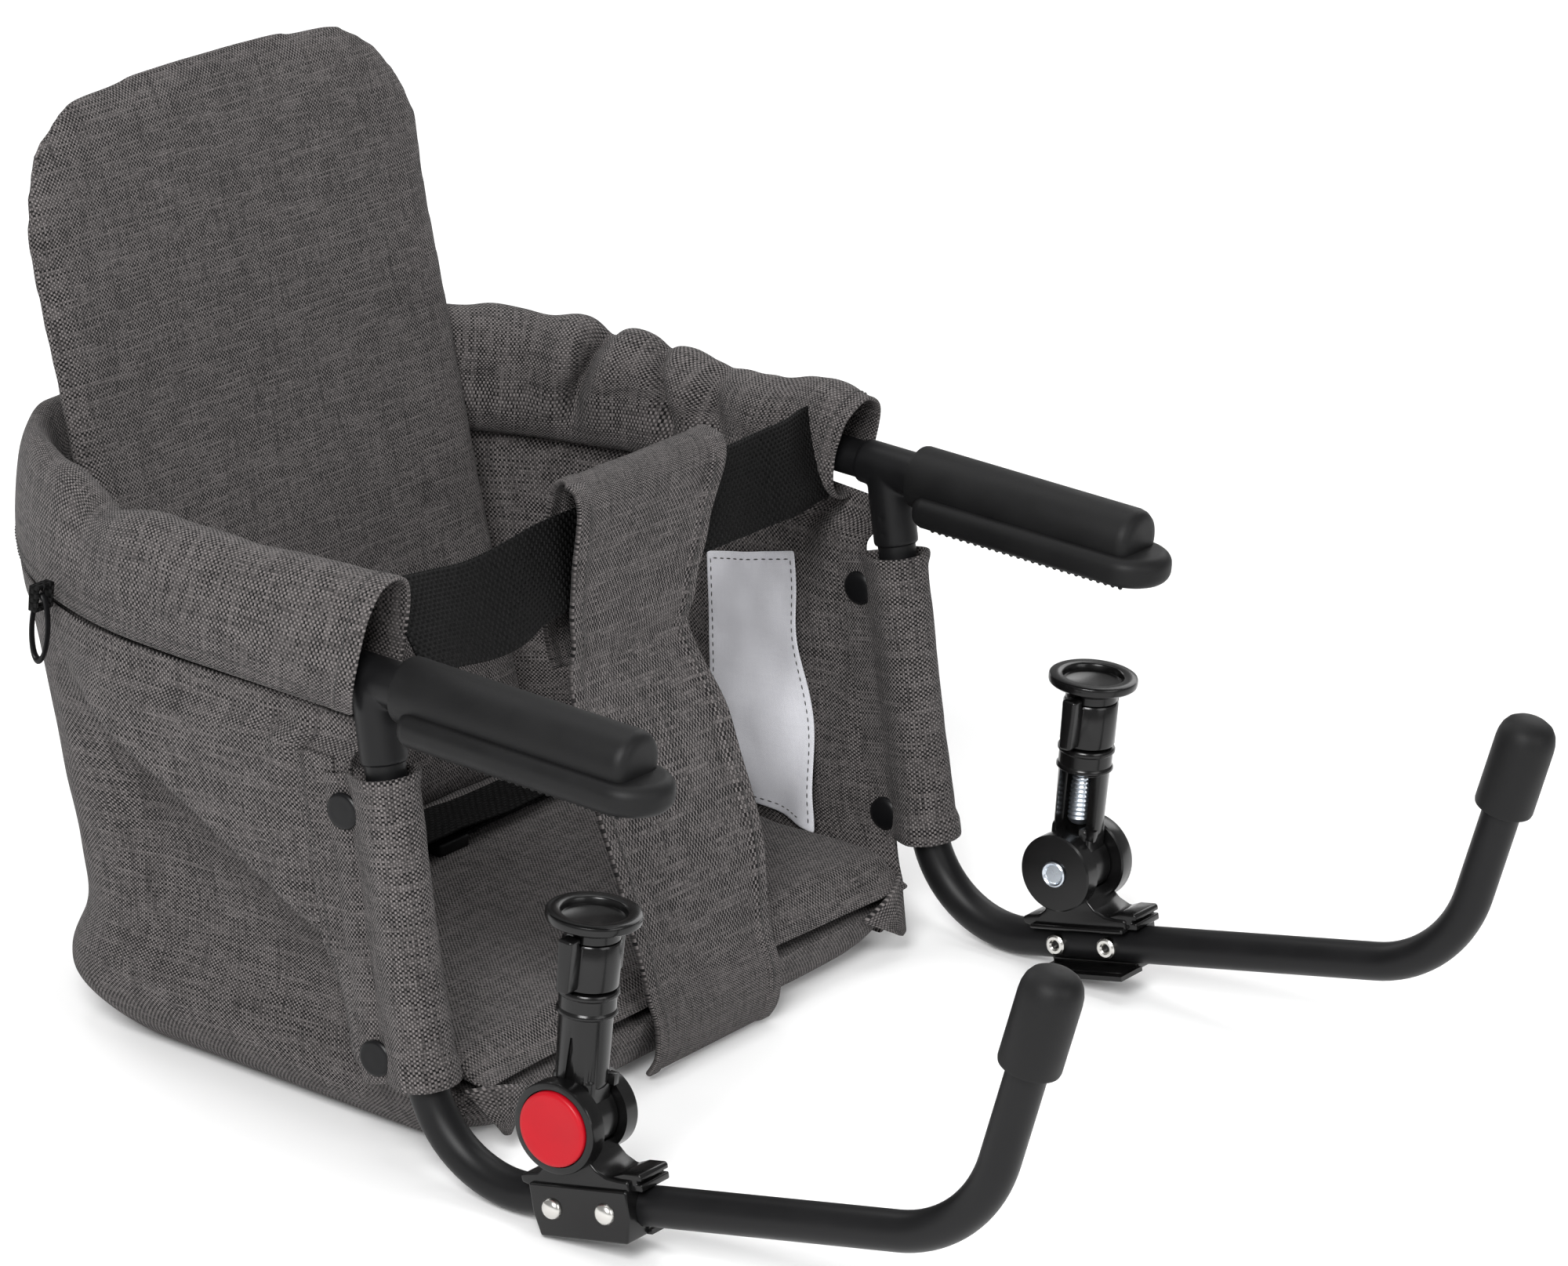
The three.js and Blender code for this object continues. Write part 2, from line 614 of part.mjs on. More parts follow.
function tablePad() {
  const foot = knobTop + FIT;
  const under = foot + PAD_NECK;
  const top = under + PAD_RIM;
  return turned([
    [0, foot], [PAD_NECK_R, foot], [PAD_NECK_R, under - 0.6], [PAD_R - 2, under], [PAD_R, under + 1.6],
    [PAD_R, top - 1.2], [PAD_R - 1.2, top], [PAD_CUP_R + 1, top], [PAD_CUP_R, top - 1],
    [PAD_CUP_R, top - PAD_CUP_DEPTH], [0, top - PAD_CUP_DEPTH],
  ], 22);
}

for (const [word, side] of [['left', -1], ['right', 1]]) {
  const sideGroup = new THREE.Group();
  sideGroup.position.x = side * HALF_SPACING;
  chair.add(sideGroup);

  add(sideGroup, `${word}_lower_tube`, lowerTube(), 'frame');
  const joint = add(sideGroup, `${word}_tee`, tee(), 'moulded');
  joint.position.copy(teePoint);
  const handle = add(sideGroup, `${word}_grip`, grip(), 'rubber');
  handle.position.z = ARM_Z;
  const tip = add(sideGroup, `${word}_tip_cap`, closed(cap()), 'rubber');
  tip.position.copy(tipEnd).addScaledVector(tipWay, FIT - CAP_GRASP);
  tip.rotation.x = TIP_LEAN;

  const barGroup = new THREE.Group();
  barGroup.position.z = BAR_Z;
  barGroup.rotation.x = -BAR_RISE;
  sideGroup.add(barGroup);
  add(barGroup, `${word}_bracket`, onSide(bracket(), side), 'moulded');
  const rear = add(barGroup, `${word}_bolt_rear`, onSide(bolt(), side), 'zinc');
  rear.position.y = boltAt[0];
  const fore = add(barGroup, `${word}_bolt_front`, onSide(bolt(), side), 'zinc');
  fore.position.y = boltAt[1];

  const pivotGroup = new THREE.Group();
  pivotGroup.position.z = PIVOT_Z;
  sideGroup.add(pivotGroup);
  add(pivotGroup, `${word}_pivot_pin`, onSide(pivotPin(), side), 'zinc');
  add(pivotGroup, `${word}_release_button`, onSide(button(), side), 'red');
  add(pivotGroup, `${word}_post`, onSide(post(), side), 'moulded');
  add(pivotGroup, `${word}_screw_rod`, closed(rod()), 'zinc');
  add(pivotGroup, `${word}_knob`, knob(), 'moulded');
  add(pivotGroup, `${word}_table_pad`, closed(tablePad()), 'moulded');
}

// Rounded rectangle in plan as a ring of points, with its own corner radii at front and rear.
function planRing(halfWidth, front, rear, cornerFront, cornerRear, z) {
  const corners = [
    [halfWidth - cornerFront, front + cornerFront, cornerFront, -Math.PI / 2],
    [halfWidth - cornerRear, rear - cornerRear, cornerRear, 0],
    [-halfWidth + cornerRear, rear - cornerRear, cornerRear, Math.PI / 2],
    [-halfWidth + cornerFront, front + cornerFront, cornerFront, Math.PI],
  ];
  const ring = [];
  for (const [x, y, radius, from] of corners) {
    for (let k = 0; k <= 5; k += 1) {
      const angle = from + Math.PI / 2 * k / 5;
      ring.push(vec(x + radius * Math.cos(angle), y + radius * Math.sin(angle), z));
    }
  }
  return ring;
}

// Seat base: a fabric pan round a board, flat below and drawn in towards the floor
const inset = SEAT_BASE_INSET;
const small = SEAT_CORNER_R * 0.3;
add(chair, 'seat_base', loft([
  planRing(SEAT_HALF_WIDTH - inset, SEAT_FRONT_Y + inset * 0.5, SEAT_REAR_Y - inset * 0.5, small, SEAT_CORNER_R, 0),
  planRing(SEAT_HALF_WIDTH - inset * 0.35, SEAT_FRONT_Y + inset * 0.12, SEAT_REAR_Y - inset * 0.15,
    small, SEAT_CORNER_R, SEAT_BASE_HEIGHT * 0.45),
  planRing(SEAT_HALF_WIDTH, SEAT_FRONT_Y, SEAT_REAR_Y, small, SEAT_CORNER_R, SEAT_BASE_HEIGHT),
]), 'cloth');

// Seat pad: a crowned cushion with drawn-in edges
const padZ = SEAT_BASE_HEIGHT + FIT;
const padRing = (shrink, z) => planRing(SEAT_HALF_WIDTH - SEAT_PAD_INSET - shrink, SEAT_FRONT_Y + SEAT_PAD_INSET + shrink,
  SEAT_REAR_Y - SEAT_PAD_INSET - shrink, small, SEAT_CORNER_R, z);
add(chair, 'seat_pad', loft([
  padRing(3, padZ),
  padRing(0, padZ + SEAT_PAD_HEIGHT * 0.35),
  padRing(1.5, padZ + SEAT_PAD_HEIGHT * 0.7),
  padRing(SEAT_PAD_ROLL, padZ + SEAT_PAD_HEIGHT),
  padRing(SEAT_PAD_SHOULDER, padZ + SEAT_PAD_HEIGHT + SEAT_PAD_CROWN * 0.7),
  padRing(SEAT_PAD_FLAT, padZ + SEAT_PAD_HEIGHT + SEAT_PAD_CROWN),
]), 'cloth');

// Plan lines of the seat walls: along the side, round the rear corner and across the rear.
function wallSpot(along, height, side) {
  const half = mix(SEAT_HALF_WIDTH + SEW, HALF_SPACING + WALL_TOP_OUT, height);
  const rear = mix(SEAT_REAR_Y + SEW, RAIL_REAR_Y + WALL_TOP_OUT, height);
  const corner = mix(SEAT_CORNER_R, RAIL_BEND_R + WALL_TOP_OUT, height);
  const z = mix(WALL_BOTTOM_Z, ARM_Z - HEM_BELOW - SEW, height);
  const upright = heel.y + (z - heel.z) * Math.tan(BAR_RISE);
  const front = upright + SLEEVE_TAIL / Math.cos(BAR_RISE) + SEW;
  const straight = rear - corner - front;
  const arc = corner * Math.PI / 2;
  const across = half - corner - REAR_HALF - SEW;
  const run = along * (straight + arc + across);
  const spot = vec(0, 0, z);
  if (run < straight) {
    const fold = Math.sin(run / straight * Math.PI * 2.5) * Math.sin(Math.PI * height) * WALL_FOLD;
    const near = Math.max(0, 1 - run / (straight * 0.4));
    spot.x = mix(half, HALF_SPACING, near * near) - fold;
    spot.y = front + run;
  } else if (run < straight + arc) {
    const angle = (run - straight) / corner;
    spot.x = half - corner + corner * Math.cos(angle);
    spot.y = rear - corner + corner * Math.sin(angle);
  } else {
    spot.x = half - corner - (run - straight - arc);
    spot.y = rear;
  }
  spot.x *= side;
  return spot;
}

function wallOut(along, height, side) {
  const step = 0.004;
  const before = wallSpot(Math.max(0, along - step), height, side);
  const after = wallSpot(Math.min(1, along + step), height, side);
  const way = after.sub(before).normalize();
  return vec(way.y * side, -way.x * side, 0).multiplyScalar(CLOTH);
}

for (const [word, side] of [['left', -1], ['right', 1]]) {
  add(chair, `${word}_side_panel`, sheet(18, 6,
    (u, v) => wallSpot(u, v, side), (u, v) => wallOut(u, v, side)), 'cloth');
}

add(chair, 'rear_panel', sheet(6, 6, (u, v) => {
  const z = mix(WALL_BOTTOM_Z, ARM_Z - HEM_BELOW - SEW, v);
  const sag = Math.sin(Math.PI * v) * WALL_FOLD;
  return vec(mix(-REAR_HALF, REAR_HALF, u), mix(SEAT_REAR_Y + SEW, RAIL_REAR_Y + WALL_TOP_OUT, v) + sag, z);
}, () => vec(0, CLOTH, 0)), 'cloth');

// Half width of the hem at a height above the rail.
function hemHalfAt(halfWidth, up, below, above) {
  const rise = Math.abs(up - (above - below) / 2) / ((above + below) / 2);
  const s = rise ** (1 / HEM_SQUARE);
  return halfWidth * Math.sqrt(1 - s * s) ** HEM_SQUARE;
}

// Cross-section of the hem that wraps the rail: tall and loose, round at both ends.
function hemRing(spot, outward, halfWidth, below, above) {
  const ring = [];
  const middle = (above - below) / 2;
  const half = (above + below) / 2;
  for (let k = 0; k < 14; k += 1) {
    const angle = k / 14 * Math.PI * 2;
    const c = Math.cos(angle);
    const s = Math.sin(angle);
    const across = halfWidth * Math.sign(c) * Math.abs(c) ** HEM_SQUARE;
    const up = middle + half * Math.sign(s) * Math.abs(s) ** HEM_SQUARE;
    ring.push(spot.clone().addScaledVector(outward, across).add(vec(0, 0, up)));
  }
  return ring;
}

function hem(stations) {
  const outer = [];
  const inner = [];
  for (const { spot, outward, halfWidth, above, below } of stations) {
    outer.push(hemRing(spot, outward, halfWidth, below, above));
    inner.push(hemRing(spot, outward, halfWidth - CLOTH, below - CLOTH, above - CLOTH));
  }
  return hollowLoft(outer, inner);
}

function sideHem(side, rise, wrinkle) {
  const start = teePoint.y + TEE_REAR + SEW;
  const straight = RAIL_REAR_Y - RAIL_BEND_R - start;
  const stations = [];
  const runs = 7;
  const turns = 8;
  for (let k = 0; k <= runs; k += 1) {
    const part = k / runs;
    const wave = wrinkle * Math.sin(part * Math.PI * 5) * Math.sin(part * Math.PI);
    stations.push({
      spot: vec(side * HALF_SPACING, start + straight * part, ARM_Z),
      outward: vec(side, 0, 0), halfWidth: mix(HEM_HALF_WIDTH, HEM_CORNER_HALF_WIDTH, part * part),
      above: rise + HEM_REAR_RISE * part + wave, below: HEM_BELOW,
    });
  }
  for (let k = 1; k <= turns; k += 1) {
    const angle = Math.PI / 2 * k / turns;
    const centre = vec(side * (HALF_SPACING - RAIL_BEND_R), RAIL_REAR_Y - RAIL_BEND_R, ARM_Z);
    const outward = vec(side * Math.cos(angle), Math.sin(angle), 0);
    stations.push({
      spot: centre.addScaledVector(outward, RAIL_BEND_R), outward, halfWidth: HEM_CORNER_HALF_WIDTH,
      above: mix(rise + HEM_REAR_RISE, HEM_ABOVE_REAR, k / turns), below: HEM_BELOW,
    });
  }
  stations.push({
    spot: vec(side * (REAR_HALF + SEW), RAIL_REAR_Y, ARM_Z), outward: vec(0, 1, 0),
    halfWidth: HEM_CORNER_HALF_WIDTH, above: HEM_ABOVE_REAR, below: HEM_BELOW,
  });
  return hem(stations);
}

add(chair, 'left_hem', sideHem(-1, HEM_ABOVE_LEFT, 0), 'cloth');
add(chair, 'right_hem', sideHem(1, HEM_ABOVE_RIGHT, HEM_WRINKLE), 'cloth');
add(chair, 'rear_hem', hem([-1, 1].map((end) => ({
  spot: vec(end * REAR_HALF, RAIL_REAR_Y, ARM_Z), outward: vec(0, 1, 0),
  halfWidth: HEM_CORNER_HALF_WIDTH, above: HEM_ABOVE_REAR, below: HEM_BELOW,
}))), 'cloth');

// Sleeves round the uprights: a fold of cloth with a flap behind it that the snaps close
function sleeve() {
  const length = uprightLength - SLEEVE_TOP_DROP - SLEEVE_BOTTOM_RISE;
  const outline = new THREE.Shape();
  const open = Math.asin(SLEEVE_TAIL_HALF / SLEEVE_R);
  outline.moveTo(SLEEVE_TAIL_HALF, SLEEVE_TAIL);
  outline.lineTo(-SLEEVE_TAIL_HALF, SLEEVE_TAIL);
  outline.absarc(0, 0, SLEEVE_R, Math.PI / 2 + open, Math.PI * 2.5 - open);
  outline.closePath();
  const bore = new THREE.Path();
  bore.absarc(0, 0, TUBE_R + SLEEVE_FIT, 0, Math.PI * 2, true);
  outline.holes.push(bore);
  const body = new THREE.ExtrudeGeometry(outline, { depth: length, bevelEnabled: false, curveSegments: 10 });
  const holes = [SNAP_UPPER_DROP - SLEEVE_TOP_DROP, length - (SNAP_LOWER_RISE - SLEEVE_BOTTOM_RISE)].map((drop) => {
    const hole = bar('x', SNAP_SHANK_R + FIT, -SLEEVE_TAIL_HALF - 1, SLEEVE_TAIL_HALF + 1, 14);
    return hole.translate(0, SNAP_BACK, length - drop);
  });
  return cut(body, ...holes);
}

function snap() {
  const face = SLEEVE_TAIL_HALF + FIT;
  return turned([
    [0, -face - SNAP_CAP], [SNAP_R * 0.6, -face - SNAP_CAP], [SNAP_R * 0.92, -face - SNAP_CAP * 0.7], [SNAP_R, -face],
    [SNAP_SHANK_R, -face], [SNAP_SHANK_R, face], [SNAP_R, face], [SNAP_R * 0.92, face + SNAP_CAP * 0.7],
    [SNAP_R * 0.6, face + SNAP_CAP], [0, face + SNAP_CAP],
  ], 12).rotateY(Math.PI / 2);
}

for (const [word, side] of [['left', -1], ['right', 1]]) {
  const upright = new THREE.Group();
  upright.position.copy(heel).setX(side * HALF_SPACING);
  upright.rotation.x = -BAR_RISE;
  chair.add(upright);
  const wrap = add(upright, `${word}_sleeve`, sleeve(), 'cloth');
  wrap.position.z = SLEEVE_BOTTOM_RISE;
  const upper = add(upright, `${word}_snap_upper`, closed(snap()), 'moulded');
  upper.position.set(0, SNAP_BACK, uprightLength - SNAP_UPPER_DROP);
  const lower = add(upright, `${word}_snap_lower`, closed(snap()), 'moulded');
  lower.position.set(0, SNAP_BACK, SNAP_LOWER_RISE);
}

// Backrest: a stiff padded panel with a crowned face, drawn-in edges and a rounded top
const backDeep = (BACK_EDGE + BACK_CROWN) / Math.cos(BACK_LEAN);
const backRun = (ARM_Z - BACK_FOOT_Z) * Math.tan(BACK_LEAN);
const backFootY = RAIL_REAR_Y - HEM_CORNER_HALF_WIDTH - BACK_CLEAR - backDeep - backRun;
const backGroup = new THREE.Group();
backGroup.position.set(0, backFootY, BACK_FOOT_Z);
backGroup.rotation.x = -BACK_LEAN;
chair.add(backGroup);

function backSpot(u, v) {
  const rise = BACK_LENGTH * (1 - (1 - v) ** 1.6);
  const into = Math.max(0, rise - (BACK_LENGTH - BACK_CORNER_R));
  const half = BACK_HALF_WIDTH - BACK_CORNER_R + Math.sqrt(BACK_CORNER_R ** 2 - into ** 2);
  const across = 2 * u - 1;
  const arch = BACK_ARCH * (1 - across ** 2) * (rise / BACK_LENGTH) ** 4;
  return vec(across * half, 0, rise + arch - BACK_ARCH);
}

function backSwell(u, v) {
  const across = Math.min(1, (1 - Math.abs(2 * u - 1)) * 5);
  const up = Math.min(1, v * 6, (1 - v) * 4);
  return Math.sqrt(Math.sin(across * Math.PI / 2) * Math.sin(up * Math.PI / 2));
}

add(backGroup, 'backrest', sheet(14, 14,
  (u, v) => backSpot(u, v).add(vec(0, BACK_CROWN * 0.5 * (1 - backSwell(u, v)), BACK_ARCH)),
  (u, v) => vec(0, BACK_EDGE + BACK_CROWN * backSwell(u, v), 0)), 'cloth');

// Crotch panel: leans back from the seat front up to a knee, then hangs upright from the belt in its loop
function crotchPanel() {
  const foot = SEAT_FRONT_Y - SEW - CROTCH_THICK;
  const lean = (CROTCH_TOP_Y - foot) / (CROTCH_KNEE_Z - SEAT_BASE_HEIGHT);
  const frontY = (z) => foot + Math.max(0, Math.min(z, CROTCH_KNEE_Z) - SEAT_BASE_HEIGHT) * lean;
  const seam = CROTCH_TOP_Z - CROTCH_LOOP;
  const wide = CROTCH_THICK + CROTCH_LOOP_GAP;
  const outline = new THREE.Shape();
  outline.moveTo(foot, CROTCH_FOOT_Z);
  outline.lineTo(foot + CROTCH_THICK, CROTCH_FOOT_Z);
  outline.lineTo(foot + CROTCH_THICK, SEAT_BASE_HEIGHT);
  outline.lineTo(frontY(CROTCH_KNEE_Z) + CROTCH_THICK, CROTCH_KNEE_Z);
  outline.lineTo(frontY(seam - 6) + CROTCH_THICK, seam - 6);
  outline.lineTo(frontY(seam + 8) + wide + CLOTH, seam + 8);
  outline.lineTo(frontY(CROTCH_TOP_Z - 5) + wide + CLOTH, CROTCH_TOP_Z - 5);
  outline.lineTo(frontY(CROTCH_TOP_Z) + wide * 0.7, CROTCH_TOP_Z);
  outline.lineTo(frontY(CROTCH_TOP_Z) + wide * 0.3, CROTCH_TOP_Z);
  outline.lineTo(frontY(CROTCH_TOP_Z - 5), CROTCH_TOP_Z - 5);
  outline.lineTo(frontY(seam), seam);
  outline.lineTo(frontY(CROTCH_KNEE_Z), CROTCH_KNEE_Z);
  outline.lineTo(foot, SEAT_BASE_HEIGHT);
  outline.closePath();
  const loop = new THREE.Path();
  loop.moveTo(frontY(seam + 2) + CROTCH_THICK * 0.7, seam + 2);
  loop.lineTo(frontY(CROTCH_TOP_Z - 7) + CROTCH_THICK * 0.7, CROTCH_TOP_Z - 7);
  loop.lineTo(frontY(CROTCH_TOP_Z - 7) + wide, CROTCH_TOP_Z - 7);
  loop.lineTo(frontY(seam + 10) + wide, seam + 10);
  outline.holes.push(loop);
  const shape = new THREE.ExtrudeGeometry(outline, { depth: 2 * CROTCH_HALF_WIDTH, steps: 2, bevelEnabled: false });
  shape.rotateY(Math.PI / 2).rotateX(Math.PI / 2);
  return closed(shape.translate(-CROTCH_HALF_WIDTH, 0, 0));
}
add(chair, 'crotch_panel', crotchPanel(), 'cloth');

// Webbing: a flat strip of given width in the direction across, along a line of points
function webbing(points, across, width, thick) {
  const last = points.length - 1;
  const rings = points.map((p, i) => {
    const way = points[Math.min(last, i + 1)].clone().sub(points[Math.max(0, i - 1)]).normalize();
    const face = way.clone().cross(across).normalize();
    const corner = (s, t) => p.clone().addScaledVector(across, s * width / 2).addScaledVector(face, t * thick / 2);
    return [corner(-1, -1), corner(1, -1), corner(1, 1), corner(-1, 1)];
  });
  return loft(rings);
}

// Waist belt: from hem to hem through the loop, slack on both sides
const beltEnd = HALF_SPACING - HEM_HALF_WIDTH - SEW;
const beltMid = CROTCH_TOP_Y + CROTCH_THICK * 0.7 + CROTCH_LOOP_GAP * 0.62;
const beltPoints = [];
for (let k = 0; k <= 20; k += 1) {
  const x = mix(-beltEnd, beltEnd, k / 20);
  const free = Math.max(0, (Math.abs(x) - CROTCH_HALF_WIDTH - 6) / (beltEnd - CROTCH_HALF_WIDTH - 6));
  beltPoints.push(vec(x, beltMid + BELT_SAG_Y * Math.sin(free * Math.PI / 2), BELT_Z));
}
add(chair, 'waist_belt', webbing(beltPoints, vec(0, 0, 1), BELT_WIDTH, BELT_THICK), 'webbing');

// Harness strap: lies across the rear of the seat pad, with its slide buckle at the left end
const padTop = padZ + SEAT_PAD_HEIGHT + SEAT_PAD_CROWN;
const strapZ = padTop + STRAP_THICK / 2 + FIT;
const strapPoints = [0, 0.25, 0.5, 0.75, 1].map((t) => vec(mix(STRAP_LEFT_X, STRAP_RIGHT_X, t), STRAP_Y, strapZ));
add(chair, 'harness_strap', webbing(strapPoints, vec(0, 1, 0), STRAP_WIDTH, STRAP_THICK), 'webbing');
function buckle() {
  const half = BUCKLE_WIDTH / 2;
  const frame = block(-half, half, -BUCKLE_LENGTH, 0, -STRAP_THICK, STRAP_THICK + 2);
  const slot = STRAP_WIDTH / 2 + FIT;
  const front = block(-slot, slot, -BUCKLE_LENGTH + BUCKLE_BAR, -BUCKLE_LENGTH / 2 - BUCKLE_BAR / 2, -9, 9);
  const back = block(-slot, slot, -BUCKLE_LENGTH / 2 + BUCKLE_BAR / 2, -BUCKLE_BAR, -9, 9);
  return cut(frame, front, back);
}
const slide = add(chair, 'strap_buckle', buckle(), 'moulded');
slide.position.set(STRAP_LEFT_X - FIT, STRAP_Y, strapZ + STRAP_THICK / 2);
slide.rotation.z = -Math.PI / 2;

// Blank label sewn to the inside of the right wall
function labelSpot(u, v) {
  const z = LABEL_Z + LABEL_HEIGHT * v;
  const height = (z - WALL_BOTTOM_Z) / (ARM_Z - HEM_BELOW - SEW - WALL_BOTTOM_Z);
  const upright = heel.y + (z - heel.z) * Math.tan(BAR_RISE);
  const y = LABEL_Y + LABEL_WIDTH * (u - 0.5) + (upright - teePoint.y);
  const corner = mix(SEAT_CORNER_R, RAIL_BEND_R + WALL_TOP_OUT, height);
  const rear = mix(SEAT_REAR_Y + SEW, RAIL_REAR_Y + WALL_TOP_OUT, height);
  const front = upright + SLEEVE_TAIL / Math.cos(BAR_RISE) + SEW;
  const total = rear - corner - front + corner * Math.PI / 2
    + mix(SEAT_HALF_WIDTH + SEW, HALF_SPACING + WALL_TOP_OUT, height) - corner - REAR_HALF - SEW;
  return wallSpot(Math.max(0, y - front) / total, height, 1).add(vec(-SEW - LABEL_EASE, 0, 0));
}
add(chair, 'label', sheet(6, 8, labelSpot, () => vec(-LABEL_THICK, 0, 0)), 'label');

// Oval ring for hanging the chair up, on a tab at the left rear of the hem
const ringTopZ = ARM_Z - HEM_BELOW * 0.3;
const ringInner = RING_HALF_WIDTH - 2 * RING_BAR_R;
const ringReach = RING_HEIGHT / 2 - 2 * RING_BAR_R;
const tabHold = ringReach + RING_BAR_R - ringReach * Math.sqrt(1 - (TAB_HALF_WIDTH / ringInner) ** 2) + FIT;
const tabOuter = tabHold + TAB_WALL;
const bendY = RAIL_REAR_Y - RAIL_BEND_R;
const ringTurn = Math.asin((RING_Y - bendY) / RAIL_BEND_R);
const ringAbove = mix(HEM_ABOVE_LEFT + HEM_REAR_RISE, HEM_ABOVE_REAR, ringTurn / (Math.PI / 2));
const hemOut = hemHalfAt(HEM_CORNER_HALF_WIDTH, ringTopZ - ARM_Z, HEM_BELOW, ringAbove) + FIT;
const hemSpan = Math.sqrt((RAIL_BEND_R + hemOut) ** 2 - (RING_Y - TAB_HALF_WIDTH - bendY) ** 2);
const tabX = RAIL_BEND_R - HALF_SPACING - hemSpan - tabOuter;
function ovalRing() {
  const halfHeight = RING_HEIGHT / 2 - RING_BAR_R;
  const halfWidth = RING_HALF_WIDTH - RING_BAR_R;
  const outline = new THREE.Shape();
  const hole = new THREE.Path();
  outline.absellipse(0, -halfHeight, halfWidth + RING_BAR_R, halfHeight + RING_BAR_R, 0, Math.PI * 2);
  hole.absellipse(0, -halfHeight, halfWidth - RING_BAR_R, halfHeight - RING_BAR_R, 0, Math.PI * 2, true);
  outline.holes.push(hole);
  const shape = new THREE.ExtrudeGeometry(outline, { depth: 2 * RING_BAR_R, bevelEnabled: false, curveSegments: 12 });
  shape.rotateY(Math.PI / 2).rotateX(Math.PI / 2);
  return closed(shape.translate(-RING_BAR_R, 0, 0));
}
const hoop = add(chair, 'hanging_ring', ovalRing(), 'moulded');
hoop.position.set(tabX, RING_Y, ringTopZ);
function ringTab() {
  const body = block(-tabOuter, tabOuter, -TAB_HALF_WIDTH, TAB_HALF_WIDTH, -tabOuter, tabOuter);
  const hole = block(-tabHold, tabHold, -TAB_HALF_WIDTH - 1, TAB_HALF_WIDTH + 1, -tabHold, tabHold);
  return cut(body, hole);
}
const tab = add(chair, 'ring_tab', ringTab(), 'webbing');
tab.position.set(tabX, RING_Y, ringTopZ);

// The origin is the middle of the seat underside.
chair.position.y = -(SEAT_FRONT_Y + SEAT_REAR_Y) / 2;

export default chair;
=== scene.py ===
"""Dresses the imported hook-on table chair: tube frame, screw clamps and sewn fabric seat."""
import logging
import math
from contextlib import contextmanager
from dataclasses import dataclass
from enum import Enum
from functools import partial
from typing import Callable, Iterator, Sequence

import bpy
import numpy as np
from mathutils import Matrix, Vector, noise


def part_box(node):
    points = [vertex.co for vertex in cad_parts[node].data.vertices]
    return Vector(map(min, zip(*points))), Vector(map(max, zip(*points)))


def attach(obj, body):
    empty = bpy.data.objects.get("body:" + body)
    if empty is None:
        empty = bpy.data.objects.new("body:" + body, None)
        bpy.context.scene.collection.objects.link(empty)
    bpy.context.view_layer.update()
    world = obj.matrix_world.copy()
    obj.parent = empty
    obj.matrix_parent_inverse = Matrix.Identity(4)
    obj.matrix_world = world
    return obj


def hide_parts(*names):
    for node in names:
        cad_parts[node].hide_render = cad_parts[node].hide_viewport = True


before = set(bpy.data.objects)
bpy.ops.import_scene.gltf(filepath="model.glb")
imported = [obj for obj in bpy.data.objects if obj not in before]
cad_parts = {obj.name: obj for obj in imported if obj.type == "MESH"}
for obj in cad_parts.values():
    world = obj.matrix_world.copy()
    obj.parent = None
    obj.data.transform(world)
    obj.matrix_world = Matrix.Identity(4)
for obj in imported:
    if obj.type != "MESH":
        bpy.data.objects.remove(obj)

LOG = logging.getLogger("chair")
MM = 0.001
MID_Y = 161.5
SIDES = (("left", -1), ("right", 1))
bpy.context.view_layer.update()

Place = Callable[[float, float], Vector]
Pairs = Sequence[tuple[float, float]]


# Workbench

def at(x: float, y: float, z: float) -> Vector:
    """A place in the shared frame in metres, from millimetres measured off the clamp posts."""
    return Vector((x, y - MID_Y, z)) * MM


def ease(t: float) -> float:
    """A smooth step from 0 to 1."""
    t = min(1.0, max(0.0, t))
    return t * t * (3 - 2 * t)


def hump(t: float, middle: float, width: float) -> float:
    """A bell of height 1 about a middle."""
    return math.exp(-((t - middle) / width) ** 2)


def ripple(x: float, y: float, seed: float) -> float:
    """Even, repeatable noise between about -1 and 1."""
    return noise.noise(Vector((x, y, seed)))


def through(points: Sequence[Sequence[float]], t: float) -> Vector:
    """A smooth line through points.

    Args:
        points: The points, evenly spaced in t.
        t: From 0 at the first point to 1 at the last.

    Returns:
        The place on the line.
    """
    last = len(points) - 1
    span = min(max(t, 0.0), 1.0) * last
    i = min(int(span), last - 1)
    f = span - i
    p = [Vector(points[min(max(k, 0), last)]) for k in (i - 1, i, i + 1, i + 2)]
    return (p[1] * 2 + (p[2] - p[0]) * f + (p[0] * 2 - p[1] * 5 + p[2] * 4 - p[3]) * f * f
            + (p[1] * 3 - p[0] - p[2] * 3 + p[3]) * f ** 3) / 2


def value_at(pairs: Pairs, x: float) -> float:
    """Reads a smooth table of (place, value) pairs at x."""
    if x <= pairs[0][0]:
        return pairs[0][1]
    for (x0, v0), (x1, v1) in zip(pairs, pairs[1:]):
        if x <= x1:
            return v0 + (v1 - v0) * ease((x - x0) / (x1 - x0))
    return pairs[-1][1]


def pick(obj: bpy.types.Object | None) -> None:
    """Deselects everything, then selects obj and makes it active."""
    bpy.ops.object.select_all(action="DESELECT")
    if obj is not None:
        obj.select_set(True)
        bpy.context.view_layer.objects.active = obj


@contextmanager
def editing(obj: bpy.types.Object) -> Iterator[None]:
    """Edit mode on one object."""
    pick(obj)
    bpy.ops.object.mode_set(mode="EDIT")
    try:
        yield
    finally:
        bpy.ops.object.mode_set(mode="OBJECT")


